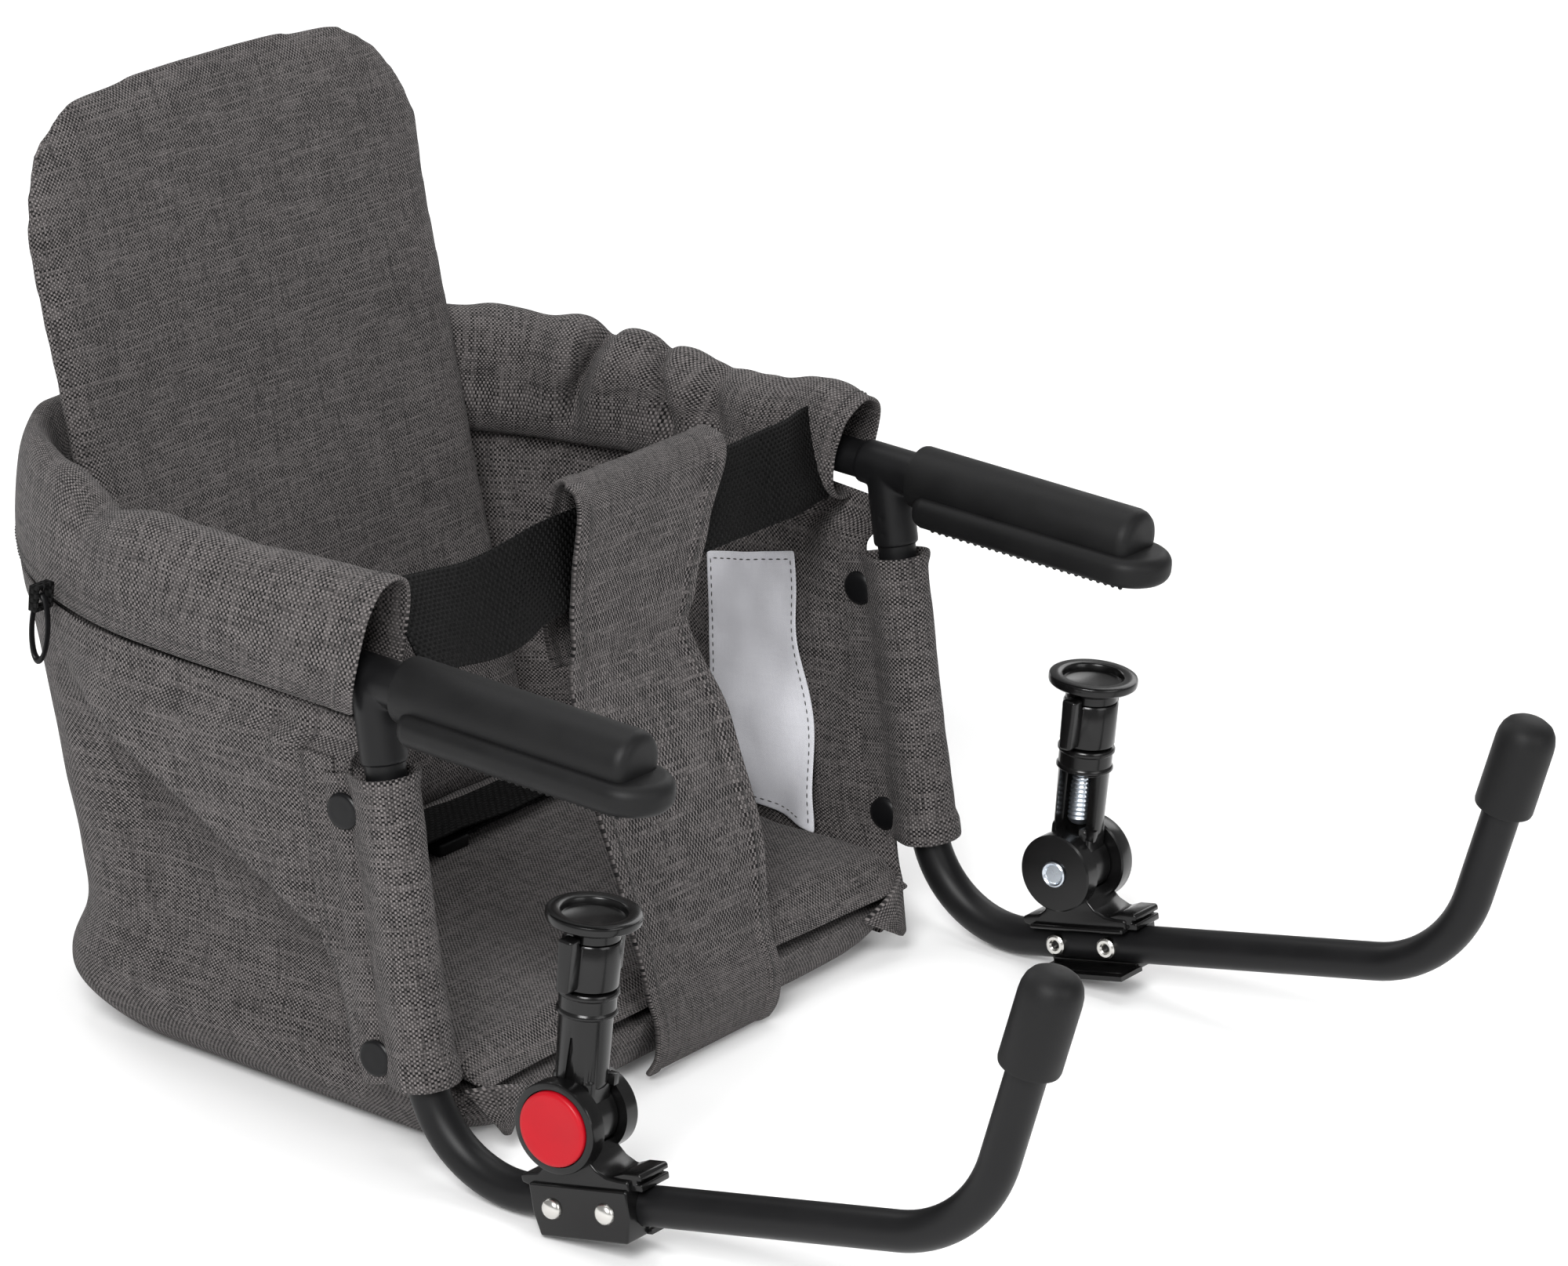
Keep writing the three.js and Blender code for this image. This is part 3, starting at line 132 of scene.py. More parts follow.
def modify(obj: bpy.types.Object, kind: str, **settings: object) -> None:
    """Adds a modifier with settings and applies it."""
    pick(obj)
    bpy.ops.object.modifier_add(type=kind)
    modifier = obj.modifiers[-1]
    for key, value in settings.items():
        setattr(modifier, key, value)
    bpy.ops.object.modifier_apply(modifier=modifier.name)


def settle(obj: bpy.types.Object, where: Matrix | None = None) -> bpy.types.Object:
    """Puts the object's place into its mesh, after an optional move.

    Args:
        obj: The piece.
        where: A move in the shared frame, in metres.

    Returns:
        The piece, at the origin and unturned.
    """
    if where is not None:
        obj.matrix_world = where @ obj.matrix_world
    pick(obj)
    bpy.ops.object.transform_apply(location=True, rotation=True, scale=True)
    return obj


def turned(profile: Pairs, sides: int = 48) -> bpy.types.Object:
    """A closed turned body about Z.

    Args:
        profile: (radius, height) pairs in millimetres, all radii above 0.
        sides: Points round the body.

    Returns:
        The body.
    """
    pick(None)
    radius, height = profile[0]
    bpy.ops.mesh.primitive_circle_add(
        vertices=sides, radius=radius * MM, fill_type="NGON", location=(0, 0, height * MM))
    obj = bpy.context.object
    with editing(obj):
        bpy.ops.mesh.select_all(action="SELECT")
        for (r0, z0), (r1, z1) in zip(profile, profile[1:]):
            bpy.ops.mesh.extrude_region_move(TRANSFORM_OT_translate={"value": (0, 0, (z1 - z0) * MM)})
            scale = r1 / r0
            bpy.ops.transform.resize(value=(scale, scale, 1), center_override=(0, 0, z1 * MM))
        bpy.ops.mesh.select_all(action="SELECT")
        bpy.ops.mesh.normals_make_consistent(inside=False)
    return settle(obj)


def prism(outline: Pairs, x0: float, x1: float) -> bpy.types.Object:
    """A body of one side outline.

    Args:
        outline: (y, z) corners in millimetres.
        x0: Where it starts across, in millimetres.
        x1: Where it ends.

    Returns:
        The body.
    """
    pick(None)
    bpy.ops.mesh.primitive_circle_add(vertices=len(outline), radius=1, fill_type="NGON")
    obj = bpy.context.object
    for vertex, (y, z) in zip(obj.data.vertices, outline):
        vertex.co = Vector((x0, y, z)) * MM
    with editing(obj):
        bpy.ops.mesh.select_all(action="SELECT")
        bpy.ops.mesh.extrude_region_move(TRANSFORM_OT_translate={"value": ((x1 - x0) * MM, 0, 0)})
        bpy.ops.mesh.select_all(action="SELECT")
        bpy.ops.mesh.normals_make_consistent(inside=False)
    return settle(obj)


def brick(low: Sequence[float], high: Sequence[float]) -> bpy.types.Object:
    """A block between two corners in millimetres."""
    return prism([(low[1], low[2]), (high[1], low[2]), (high[1], high[2]), (low[1], high[2])], low[0],
                 high[0])


class Merge(Enum):
    """How a second body changes the first."""

    ADD = "UNION"
    TAKE = "DIFFERENCE"


def combine(base: bpy.types.Object, how: Merge, *others: bpy.types.Object) -> bpy.types.Object:
    """Joins or cuts bodies into the first one and removes the others."""
    for other in others:
        modify(base, "BOOLEAN", operation=how.value, object=other, solver="EXACT")
        bpy.data.objects.remove(other)
    return base


def soften(obj: bpy.types.Object, width: float, segments: int = 3, angle: float = 30) -> bpy.types.Object:
    """Rounds the sharp edges of a body and shades it.

    Args:
        obj: The body.
        width: Width of the rounding in millimetres.
        segments: Faces across the rounding.
        angle: Edges sharper than this many degrees are rounded.

    Returns:
        The body.
    """
    modify(obj, "BEVEL", width=width * MM, segments=segments, limit_method="ANGLE",
           angle_limit=math.radians(angle), harden_normals=False, miter_outer="MITER_ARC")
    return shade(obj)


def shade(obj: bpy.types.Object, angle: float = 40) -> bpy.types.Object:
    """Shades a body smooth up to an angle."""
    pick(obj)
    bpy.ops.object.shade_smooth_by_angle(angle=math.radians(angle))
    return obj


def mirrored(obj: bpy.types.Object) -> bpy.types.Object:
    """A copy on the other side of the middle plane, with its own mesh."""
    twin = obj.copy()
    twin.data = obj.data.copy()
    bpy.context.scene.collection.objects.link(twin)
    twin.data.transform(Matrix.Scale(-1, 4, (1, 0, 0)))
    with editing(twin):
        bpy.ops.mesh.select_all(action="SELECT")
        bpy.ops.mesh.flip_normals()
    return twin


def bent_tube(corners: Sequence[Vector], bends: Sequence[float], radius: float,
              sides: int = 40) -> bpy.types.Object:
    """A tube pulled along straight runs and spun round its bends.

    Args:
        corners: Corner points in metres.
        bends: Bend radius at each inner corner, in metres.
        radius: Radius of the tube in metres.
        sides: Points round the tube.

    Returns:
        The tube, closed at both ends.
    """
    pick(None)
    first = (corners[1] - corners[0]).normalized()
    bpy.ops.mesh.primitive_circle_add(
        vertices=sides, radius=radius, fill_type="NGON", location=corners[0],
        rotation=first.to_track_quat("Z", "Y").to_euler())
    obj = bpy.context.object
    here = corners[0]
    with editing(obj):
        bpy.ops.mesh.select_all(action="SELECT")
        for i, bend in enumerate(bends):
            before = (corners[i + 1] - corners[i]).normalized()
            after = (corners[i + 2] - corners[i + 1]).normalized()
            turn = before.angle(after)
            reach = bend * math.tan(turn / 2)
            start = corners[i + 1] - before * reach
            axis = before.cross(after).normalized()
            bpy.ops.mesh.extrude_region_move(TRANSFORM_OT_translate={"value": start - here})
            bpy.ops.mesh.spin(steps=18, angle=-turn, center=start + axis.cross(before) * bend, axis=axis)
            here = corners[i + 1] + after * reach
        bpy.ops.mesh.extrude_region_move(TRANSFORM_OT_translate={"value": corners[-1] - here})
        bpy.ops.mesh.select_all(action="SELECT")
        bpy.ops.mesh.normals_make_consistent(inside=False)
    return shade(settle(obj))


def scale_uv(obj: bpy.types.Object, width: float, length: float) -> None:
    """Turns a unit UV map into metres on the cloth."""
    layer = obj.data.uv_layers.active.data
    uv = np.zeros(len(layer) * 2, np.float32)
    layer.foreach_get("uv", uv)
    uv = uv.reshape(-1, 2) * (width, length)
    layer.foreach_set("uv", uv.astype(np.float32).ravel())


def box_uv(obj: bpy.types.Object, turn: Matrix) -> None:
    """Maps cloth in metres by each face's main direction.

    Args:
        obj: The piece.
        turn: Rotation from the shared frame into the cloth's own directions.
    """
    mesh = obj.data
    layer = mesh.uv_layers.active or mesh.uv_layers.new(name="UVMap")
    for face in mesh.polygons:
        normal = turn @ face.normal
        drop = max(range(3), key=lambda k: abs(normal[k]))
        keep = [k for k in range(3) if k != drop]
        for loop in face.loop_indices:
            spot = turn @ mesh.vertices[mesh.loops[loop].vertex_index].co
            layer.data[loop].uv = (spot[keep[0]], spot[keep[1]])


@dataclass
class Cloth:
    """A grid of cloth shaped by a formula.

    Attributes:
        columns: Faces along u.
        rows: Faces along v.
        thick: Thickness in millimetres.
        offset: Where the thickness goes: -1 inwards, 1 outwards.
        levels: Subdivision levels.
    """

    columns: int
    rows: int
    thick: float = 1.6
    offset: float = 0.0
    levels: int = 1

    def cut(self, place: Place) -> tuple[bpy.types.Object, float, float]:
        """Lays the grid on its surface.

        Args:
            place: Gives the place in metres for u and v from 0 to 1.

        Returns:
            The thin sheet, with its mean width and length in metres.
        """
        pick(None)
        bpy.ops.mesh.primitive_grid_add(
            x_subdivisions=self.columns, y_subdivisions=self.rows, size=2, calc_uvs=True)
        obj = bpy.context.object
        spots = {}
        for vertex in obj.data.vertices:
            i = round((vertex.co.x + 1) / 2 * self.columns)
            j = round((vertex.co.y + 1) / 2 * self.rows)
            vertex.co = spots[i, j] = place(i / self.columns, j / self.rows)
        width = sum((spots[i + 1, j] - spots[i, j]).length for i in range(self.columns)
                    for j in range(self.rows + 1))
        length = sum((spots[i, j + 1] - spots[i, j]).length for i in range(self.columns + 1)
                     for j in range(self.rows))
        width /= self.rows + 1
        length /= self.columns + 1
        scale_uv(obj, width, length)
        return obj, width, length

    def sew(self, place: Place) -> tuple[bpy.types.Object, float, float]:
        """A finished sheet with thickness and soft edges, and its width and length in metres."""
        obj, width, length = self.cut(place)
        modify(obj, "SOLIDIFY", thickness=self.thick * MM, offset=self.offset, use_even_offset=False)
        modify(obj, "SUBSURF", levels=self.levels, render_levels=self.levels)
        with editing(obj):
            bpy.ops.mesh.select_all(action="SELECT")
            bpy.ops.mesh.normals_make_consistent(inside=False)
        pick(obj)
        bpy.ops.object.shade_smooth()
        return obj, width, length


def above(place: Place, u: float, v: float, lift: float) -> Vector:
    """A place a little off a sheet, along its normal, with the lift in millimetres."""
    e = 0.004
    along = place(min(1.0, u + e), v) - place(max(0.0, u - e), v)
    up = place(u, min(1.0, v + e)) - place(u, max(0.0, v - e))
    return place(u, v) + along.cross(up).normalized() * (lift * MM)


def stitch_row(points: Sequence[Vector], pitch: float = 3.4, length: float = 2.5,
               radius: float = 0.42) -> bpy.types.Object:
    """A row of thread stitches, modelled once and laid along a line.

    Args:
        points: The line in metres.
        pitch: From one stitch to the next, in millimetres.
        length: Length of one stitch.
        radius: Radius of the thread.

    Returns:
        The row.
    """
    curve = bpy.data.curves.new("seam_line", "CURVE")
    curve.dimensions = "3D"
    spline = curve.splines.new("POLY")
    spline.points.add(len(points) - 1)
    for point, spot in zip(spline.points, points):
        point.co = (*spot, 1.0)
    line = bpy.data.objects.new("seam_line", curve)
    bpy.context.scene.collection.objects.link(line)
    total = sum((b - a).length for a, b in zip(points, points[1:]))
    pick(None)
    bpy.ops.mesh.primitive_uv_sphere_add(segments=6, ring_count=5, radius=1.0,
                                         rotation=(0, math.radians(90), 0))
    row = bpy.context.object
    settle(row, Matrix.Translation((length / 2 * MM, 0, 0))
           @ Matrix.Diagonal((length / 2 * MM, radius * MM, radius * MM, 1)))
    modify(row, "ARRAY", count=max(1, int(total / (pitch * MM))), use_relative_offset=False,
           use_constant_offset=True,
           constant_offset_displace=(pitch * MM, 0, 0))
    modify(row, "CURVE", object=line, deform_axis="POS_X")
    bpy.data.objects.remove(line)
    return shade(row, 80)


# Finishes

class Tree:
    """Writes nodes and links into one node tree."""

    def __init__(self, tree: bpy.types.NodeTree) -> None:
        """Starts on a tree."""
        self.tree = tree

    def add(self, kind: str, **settings: object) -> bpy.types.Node:
        """Adds a node of a kind with settings."""
        node = self.tree.nodes.new(kind)
        for key, value in settings.items():
            setattr(node, key, value)
        return node

    def feed(self, node: bpy.types.Node, **inputs: object) -> bpy.types.Node:
        """Links sockets or sets values on a node's inputs.

        Args:
            node: The node.
            inputs: Socket names with _ for spaces, or in0, in1 for places.

        Returns:
            The node.
        """
        for key, value in inputs.items():
            if key[:2] == "in" and key[2:].isdigit():
                socket = node.inputs[int(key[2:])]
            else:
                socket = node.inputs[key.replace("_", " ")]
            if isinstance(value, bpy.types.NodeSocket):
                self.tree.links.new(value, socket)
            else:
                socket.default_value = value
        return node

    def math(self, operation: str, a: object, b: object = 0.0) -> bpy.types.NodeSocket:
        """A Math node's output."""
        return self.feed(self.add("ShaderNodeMath", operation=operation), in0=a, in1=b).outputs[0]

    def blend(self, factor: object, a: object, b: object) -> bpy.types.NodeSocket:
        """A colour between a and b."""
        node = self.add("ShaderNodeMix", data_type="RGBA")
        for socket, value in ((node.inputs[0], factor), (node.inputs[6], a), (node.inputs[7], b)):
            if isinstance(value, bpy.types.NodeSocket):
                self.tree.links.new(value, socket)
            else:
                socket.default_value = value
        return node.outputs[2]

    def noise(self, vector: object, scale: float, detail: float = 2.0) -> bpy.types.NodeSocket:
        """A noise value between 0 and 1."""
        node = self.feed(self.add("ShaderNodeTexNoise"), Scale=scale, Detail=detail)
        self.tree.links.new(vector, node.inputs["Vector"])
        return node.outputs[0]


def new_group(name: str, inputs: Sequence[tuple[str, str]], outputs: Sequence[tuple[str, str]]) -> Tree:
    """An empty shader node group with named sockets."""
    group = bpy.data.node_groups.new(name, "ShaderNodeTree")
    for label, kind in inputs:
        group.interface.new_socket(label, in_out="INPUT", socket_type=kind)
    for label, kind in outputs:
        group.interface.new_socket(label, in_out="OUTPUT", socket_type=kind)
    return Tree(group)


def weave_group() -> bpy.types.NodeTree:
    """Plain weave from surface coordinates: thread height, and the tone of each thread."""
    name = "plain_weave"
    if name in bpy.data.node_groups:
        return bpy.data.node_groups[name]
    t = new_group(name, [("Vector", "NodeSocketVector"), ("Threads", "NodeSocketFloat"),
                         ("Slub", "NodeSocketFloat"),
                         ("Split", "NodeSocketFloat"), ("Fleck", "NodeSocketFloat")],
                  [("Height", "NodeSocketFloat"), ("Tone", "NodeSocketFloat"), ("Cloud", "NodeSocketFloat")])
    source = t.add("NodeGroupInput")
    scaled = t.add("ShaderNodeVectorMath", operation="SCALE")
    t.tree.links.new(source.outputs["Vector"], scaled.inputs[0])
    t.tree.links.new(source.outputs["Threads"], scaled.inputs["Scale"])
    split = t.feed(t.add("ShaderNodeSeparateXYZ"), in0=scaled.outputs[0])
    u, v = split.outputs[0], split.outputs[1]
    wave_u = t.math("SINE", t.math("MULTIPLY", u, math.pi))
    wave_v = t.math("SINE", t.math("MULTIPLY", v, math.pi))
    over = t.math("GREATER_THAN", t.math("MULTIPLY", wave_u, wave_v), 0.0)
    tones, flecks = [], []
    for across, along, seed in ((u, v, 3.7), (v, u, 41.3)):
        thread = t.math("MULTIPLY", t.math("FLOOR", across), 7.31)
        run = t.math("MULTIPLY", along, source.outputs["Slub"])
        spot = t.feed(t.add("ShaderNodeCombineXYZ"), X=thread, Y=run, Z=seed)
        tones.append(t.noise(spot.outputs[0], 1.0, 2.0))
        piece = t.feed(t.add("ShaderNodeCombineXYZ"), X=thread,
                       Y=t.math("FLOOR", t.math("MULTIPLY", along, 0.4)), Z=seed)
        flecks.append(t.feed(t.add("ShaderNodeTexWhiteNoise", noise_dimensions="3D"),
                             Vector=piece.outputs[0]).outputs["Value"])
    pick_warp = t.add("ShaderNodeMix", data_type="FLOAT")
    for socket, value in zip((0, 2, 3), (over, tones[1], tones[0])):
        t.tree.links.new(value, pick_warp.inputs[socket])
    pick_fleck = t.add("ShaderNodeMix", data_type="FLOAT")
    for socket, value in zip((0, 2, 3), (over, flecks[1], flecks[0])):
        t.tree.links.new(value, pick_fleck.inputs[socket])
    crown = t.add("ShaderNodeMix", data_type="FLOAT")
    for socket, value in zip((0, 2, 3), (over, t.math("ABSOLUTE", wave_v), t.math("ABSOLUTE", wave_u))):
        t.tree.links.new(value, crown.inputs[socket])
    split_tone = t.math("MULTIPLY", t.math("SUBTRACT", over, 0.5), source.outputs["Split"])
    fleck = t.math("MULTIPLY", t.math("SUBTRACT", pick_fleck.outputs[0], 0.5), source.outputs["Fleck"])
    tone = t.math("ADD", t.math("ADD", pick_warp.outputs[0], split_tone), fleck)
    cloud = t.noise(source.outputs["Vector"], 60.0, 3.0)
    out = t.add("NodeGroupOutput")
    for label, value in (("Height", crown.outputs[0]), ("Tone", tone), ("Cloud", cloud)):
        t.tree.links.new(value, out.inputs[label])
    return t.tree


def grain_group() -> bpy.types.NodeTree:
    """Fine moulded or sprayed grain: a height and a slow mottle."""
    name = "fine_grain"
    if name in bpy.data.node_groups:
        return bpy.data.node_groups[name]
    t = new_group(name, [("Vector", "NodeSocketVector"), ("Grain", "NodeSocketFloat")],
                  [("Height", "NodeSocketFloat"), ("Mottle", "NodeSocketFloat")])
    source = t.add("NodeGroupInput")
    fine = t.add("ShaderNodeTexNoise")
    t.feed(fine, Vector=source.outputs["Vector"], Scale=source.outputs["Grain"], Detail=2.0)
    slow = t.noise(source.outputs["Vector"], 55.0, 4.0)
    out = t.add("NodeGroupOutput")
    t.tree.links.new(fine.outputs[0], out.inputs["Height"])
    t.tree.links.new(slow, out.inputs["Mottle"])
    return t.tree


def shader(name: str) -> tuple[bpy.types.Material, Tree, bpy.types.Node]:
    """A new node material with its Principled shader."""
    material = bpy.data.materials.new(name)
    material.use_nodes = True
    return material, Tree(material.node_tree), material.node_tree.nodes["Principled BSDF"]


Tint = tuple[float, float, float]


def rgba(tint: Tint) -> tuple[float, float, float, float]:
    """A colour with full alpha."""
    return (*tint, 1.0)


@dataclass(frozen=True)
class Woven:
    """A woven finish with threads of two tones.

    Attributes:
        name: Name of the material.
        dark: Darkest thread.
        light: Lightest thread.
        threads: Threads in a metre.
        slub: How fast a thread changes tone along its run.
        split: How much lighter the warp is than the weft.
        fleck: How much short lengths of thread differ in tone.
        spread: Half of the tone's range that runs from dark to light.
        rough: Roughness.
        sheen: Sheen weight.
        depth: Height of the weave in metres.
        level: Specular level.
    """

    name: str
    dark: Tint
    light: Tint
    threads: float = 1080.0
    slub: float = 0.05
    split: float = 0.42
    fleck: float = 0.5
    spread: float = 0.5
    rough: float = 0.88
    sheen: float = 0.12
    depth: float = 0.0004
    level: float = 0.2

    def material(self) -> bpy.types.Material:
        """The material, made once."""
        if self.name in bpy.data.materials:
            return bpy.data.materials[self.name]
        material, t, bsdf = shader(self.name)
        uv = t.add("ShaderNodeUVMap", uv_map="UVMap")
        weave = t.add("ShaderNodeGroup")
        weave.node_tree = weave_group()
        t.feed(weave, Vector=uv.outputs[0], Threads=self.threads, Slub=self.slub, Split=self.split,
               Fleck=self.fleck)
        ramp = t.add("ShaderNodeMapRange")
        t.feed(ramp, Value=weave.outputs["Tone"], From_Min=0.5 - self.spread, From_Max=0.5 + self.spread)
        colour = t.blend(ramp.outputs[0], rgba(self.dark), rgba(self.light))
        # Painted shade: the thread colour is darkened in the low gaps between threads and brightened on the
        # thread crowns, following the weave's height. level is this painted shade times a slow random mottle
        # of tone.
        gap_shade = t.feed(t.add("ShaderNodeMapRange"), Value=weave.outputs["Height"], To_Min=0.4, To_Max=1.15)
        mottle = t.feed(t.add("ShaderNodeMapRange"), Value=weave.outputs["Cloud"], To_Min=0.9, To_Max=1.1)
        level = t.math("MULTIPLY", gap_shade.outputs[0], mottle.outputs[0])
        scale = t.add("ShaderNodeVectorMath", operation="SCALE")
        t.tree.links.new(colour, scale.inputs[0])
        t.tree.links.new(level, scale.inputs["Scale"])
        bump = t.feed(t.add("ShaderNodeBump"), Height=weave.outputs["Height"], Distance=self.depth,
                      Strength=0.8)
        t.feed(bsdf, Base_Color=scale.outputs[0], Roughness=self.rough, Normal=bump.outputs[0],
               Sheen_Weight=self.sheen, Sheen_Roughness=0.5, Specular_IOR_Level=self.level)
        return material


@dataclass(frozen=True)
class Moulded:
    """A moulded, sprayed or plated finish.

    Attributes:
        name: Name of the material.
        tint: Its colour.
        rough: Mean roughness.
        vary: How much the roughness varies.
        grain: Grains in a metre.
        depth: Height of the grain in metres.
        metal: Metallic share.
        coat: Weight of a clear coat.
        level: Specular level.
    """

    name: str
    tint: Tint
    rough: float = 0.4
    vary: float = 0.08
    grain: float = 1800.0
    depth: float = 0.00008
    metal: float = 0.0
    coat: float = 0.0
    level: float = 0.5

    def material(self) -> bpy.types.Material:
        """The material, made once."""
        if self.name in bpy.data.materials:
            return bpy.data.materials[self.name]
        material, t, bsdf = shader(self.name)
        place = t.add("ShaderNodeTexCoord")
        grain = t.add("ShaderNodeGroup")
        grain.node_tree = grain_group()
        t.feed(grain, Vector=place.outputs["Object"], Grain=self.grain)
        rough = t.feed(t.add("ShaderNodeMapRange"), Value=grain.outputs["Mottle"], From_Min=0.3, From_Max=0.7,
                       To_Min=self.rough - self.vary, To_Max=self.rough + self.vary)
        pale = tuple(c * 1.25 + 0.001 for c in self.tint)
        deep = tuple(c * 0.8 for c in self.tint)
        colour = t.blend(grain.outputs["Mottle"], rgba(deep), rgba(pale))
        bump = t.feed(t.add("ShaderNodeBump"), Height=grain.outputs["Height"], Distance=self.depth,
                      Strength=0.5)
        t.feed(bsdf, Base_Color=colour, Roughness=rough.outputs[0], Normal=bump.outputs[0],
               Metallic=self.metal, Coat_Weight=self.coat, Coat_Roughness=0.12, Specular_IOR_Level=self.level)
        return material


MELANGE = Woven("melange_cloth", (0.005, 0.0047, 0.0049), (0.172, 0.157, 0.155), fleck=0.2, spread=0.3,
                sheen=0.05)
BELT_WEB = Woven("black_webbing", (0.0015, 0.0015, 0.0015), (0.0115, 0.0113, 0.0115), threads=560,
                 slub=0.7, split=0.6, fleck=0.1,
                 rough=0.6, sheen=0.0, depth=0.0006, level=0.07)
THREAD = Woven("sewing_thread", (0.030, 0.028, 0.028), (0.10, 0.096, 0.094), threads=3000, depth=0.0001)
LABEL_WEAVE = Woven("white_label", (0.78, 0.78, 0.84), (0.94, 0.94, 0.98), threads=3200, slub=0.02,
                    split=0.1, fleck=0.1, rough=0.7,
                    sheen=0.0, depth=0.00008)
POWDER = Moulded("satin_black_tube", (0.0055, 0.0055, 0.006), rough=0.42, vary=0.05, grain=2600,
                 depth=0.00005, level=0.22)
GLOSS = Moulded("gloss_black_moulding", (0.0035, 0.0034, 0.0035), rough=0.22, vary=0.05, grain=900,
                depth=0.00002, level=0.36)
RUBBER = Moulded("matte_black_rubber", (0.0065, 0.0065, 0.0068), rough=0.52, vary=0.06, grain=3000,
                 depth=0.00010,
                 level=0.2)
ZINC = Moulded("bright_zinc", (0.60, 0.65, 0.71), rough=0.27, vary=0.08, grain=1500, depth=0.00003, metal=1.0)
NICKEL = Moulded("bright_rivet", (0.66, 0.65, 0.62), rough=0.24, vary=0.07, grain=1500, depth=0.00003,
                 metal=1.0)
RED = Moulded("red_button", (0.40, 0.002, 0.009), rough=0.36, vary=0.04, grain=2200, depth=0.00003,
              level=0.25)
LACQUER = Moulded("black_snap", (0.004, 0.004, 0.0045), rough=0.34, vary=0.06, grain=2000, depth=0.00003,
                  level=0.22)


def dress(obj: bpy.types.Object, name: str, finish: Woven | Moulded, slot: str, body: str,
          *nodes: str) -> bpy.types.Object:
    """Names a piece, gives it its finish and hangs it on its body.

    Args:
        obj: The piece.
        name: Its name.
        finish: Its finish.
        slot: The record's material slot; not used.
        body: The body it moves with.
        nodes: The solids that it stands for.

    Returns:
        The piece.
    """
    obj.name = obj.data.name = name
    obj.data.materials.clear()
    obj.data.materials.append(finish.material())
    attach(obj, body)
    if nodes:
        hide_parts(*nodes)
    LOG.info("%s on %s, %d faces", name, body, len(obj.data.polygons))
    return obj


# Studio

@dataclass
class Studio:
    """A pale floor, soft lamps and the camera.

    Attributes:
        eye: Camera place in millimetres.
        lens: Focal length in millimetres on a 36 mm sensor.
    """

    eye: tuple[float, float, float] = (-2214.8, -1392.4, 1169.0)
    right: tuple[float, float, float] = (0.56577, -0.82078, 0.07886)
    up: tuple[float, float, float] = (0.24625, 0.25946, 0.93383)
    back: tuple[float, float, float] = (-0.78693, -0.50892, 0.34891)
    lens: float = 163.8

    def camera(self) -> None:
        """Sets the camera where the picture was taken."""
        data = bpy.data.cameras.new("camera")
        data.sensor_width = 36.0
        data.lens = self.lens
        data.clip_start, data.clip_end = 0.05, 60.0
        obj = bpy.data.objects.new("camera", data)
        bpy.context.scene.collection.objects.link(obj)
        turn = Matrix((self.right, self.up, self.back)).transposed()
        obj.matrix_world = Matrix.Translation(at(*self.eye)) @ turn.to_4x4()
        bpy.context.scene.camera = obj

    def floor(self) -> None:
        """Lays a wide pale floor that keeps the shadow."""
        pick(None)
        bpy.ops.mesh.primitive_grid_add(x_subdivisions=8, y_subdivisions=8, size=24, location=(0, 0, 0))
        obj = bpy.context.object
        obj.name = "floor"
        material, t, bsdf = shader("pale_floor")
        place = t.add("ShaderNodeTexCoord")
        tone = t.noise(place.outputs["Object"], 3.0, 2.0)
        t.feed(bsdf, Base_Color=t.blend(tone, (0.955, 0.955, 0.955, 1), (0.965, 0.965, 0.965, 1)),
               Roughness=0.8,
               Specular_IOR_Level=0.1, Emission_Color=(1, 1, 1, 1), Emission_Strength=0.05)
        obj.data.materials.append(material)

    def lamp(self, name: str, place: tuple[float, float, float], aim: tuple[float, float, float], size: float,
             power: float) -> None:
        """Hangs one soft square lamp."""
        data = bpy.data.lights.new(name, "AREA")
        data.shape, data.size, data.energy = "SQUARE", size, power
        obj = bpy.data.objects.new(name, data)
        bpy.context.scene.collection.objects.link(obj)
        obj.location = place
        obj.rotation_euler = (Vector(place) - Vector(aim)).to_track_quat("Z", "Y").to_euler()

    def light(self) -> None:
        """Sets the lamps and the world."""
        aim = (0.0, 0.0, 0.15)
        self.lamp("key", (-2.2, -0.9, 1.8), aim, 1.1, 78)
        self.lamp("front", (-0.2, -2.6, 1.3), aim, 1.5, 20)
        self.lamp("top", (0.4, 0.4, 2.9), aim, 2.0, 30)
        self.lamp("right", (2.4, 0.3, 1.5), aim, 1.4, 14)
        self.lamp("rear", (0.4, 2.5, 1.6), aim, 1.6, 20)
        world = bpy.data.worlds.new("studio")
        bpy.context.scene.world = world
        world.use_nodes = True
        t = Tree(world.node_tree)
        base = world.node_tree.nodes["Background"]
        base.inputs["Color"].default_value = (1, 1, 1, 1)
        base.inputs["Strength"].default_value = 0.34
        shown = t.feed(t.add("ShaderNodeBackground"), Color=(1, 1, 1, 1), Strength=1.0)
        ray = t.add("ShaderNodeLightPath")
        mixer = t.add("ShaderNodeMixShader")
        world.node_tree.links.new(ray.outputs["Is Camera Ray"], mixer.inputs[0])
        world.node_tree.links.new(base.outputs[0], mixer.inputs[1])
        world.node_tree.links.new(shown.outputs[0], mixer.inputs[2])
        world.node_tree.links.new(mixer.outputs[0], world.node_tree.nodes["World Output"].inputs[0])
        bpy.context.scene.view_settings.view_transform = "Standard"

    def build(self) -> None:
        """Builds the studio."""
        self.camera()
        self.floor()
        self.light()


# Tube frame

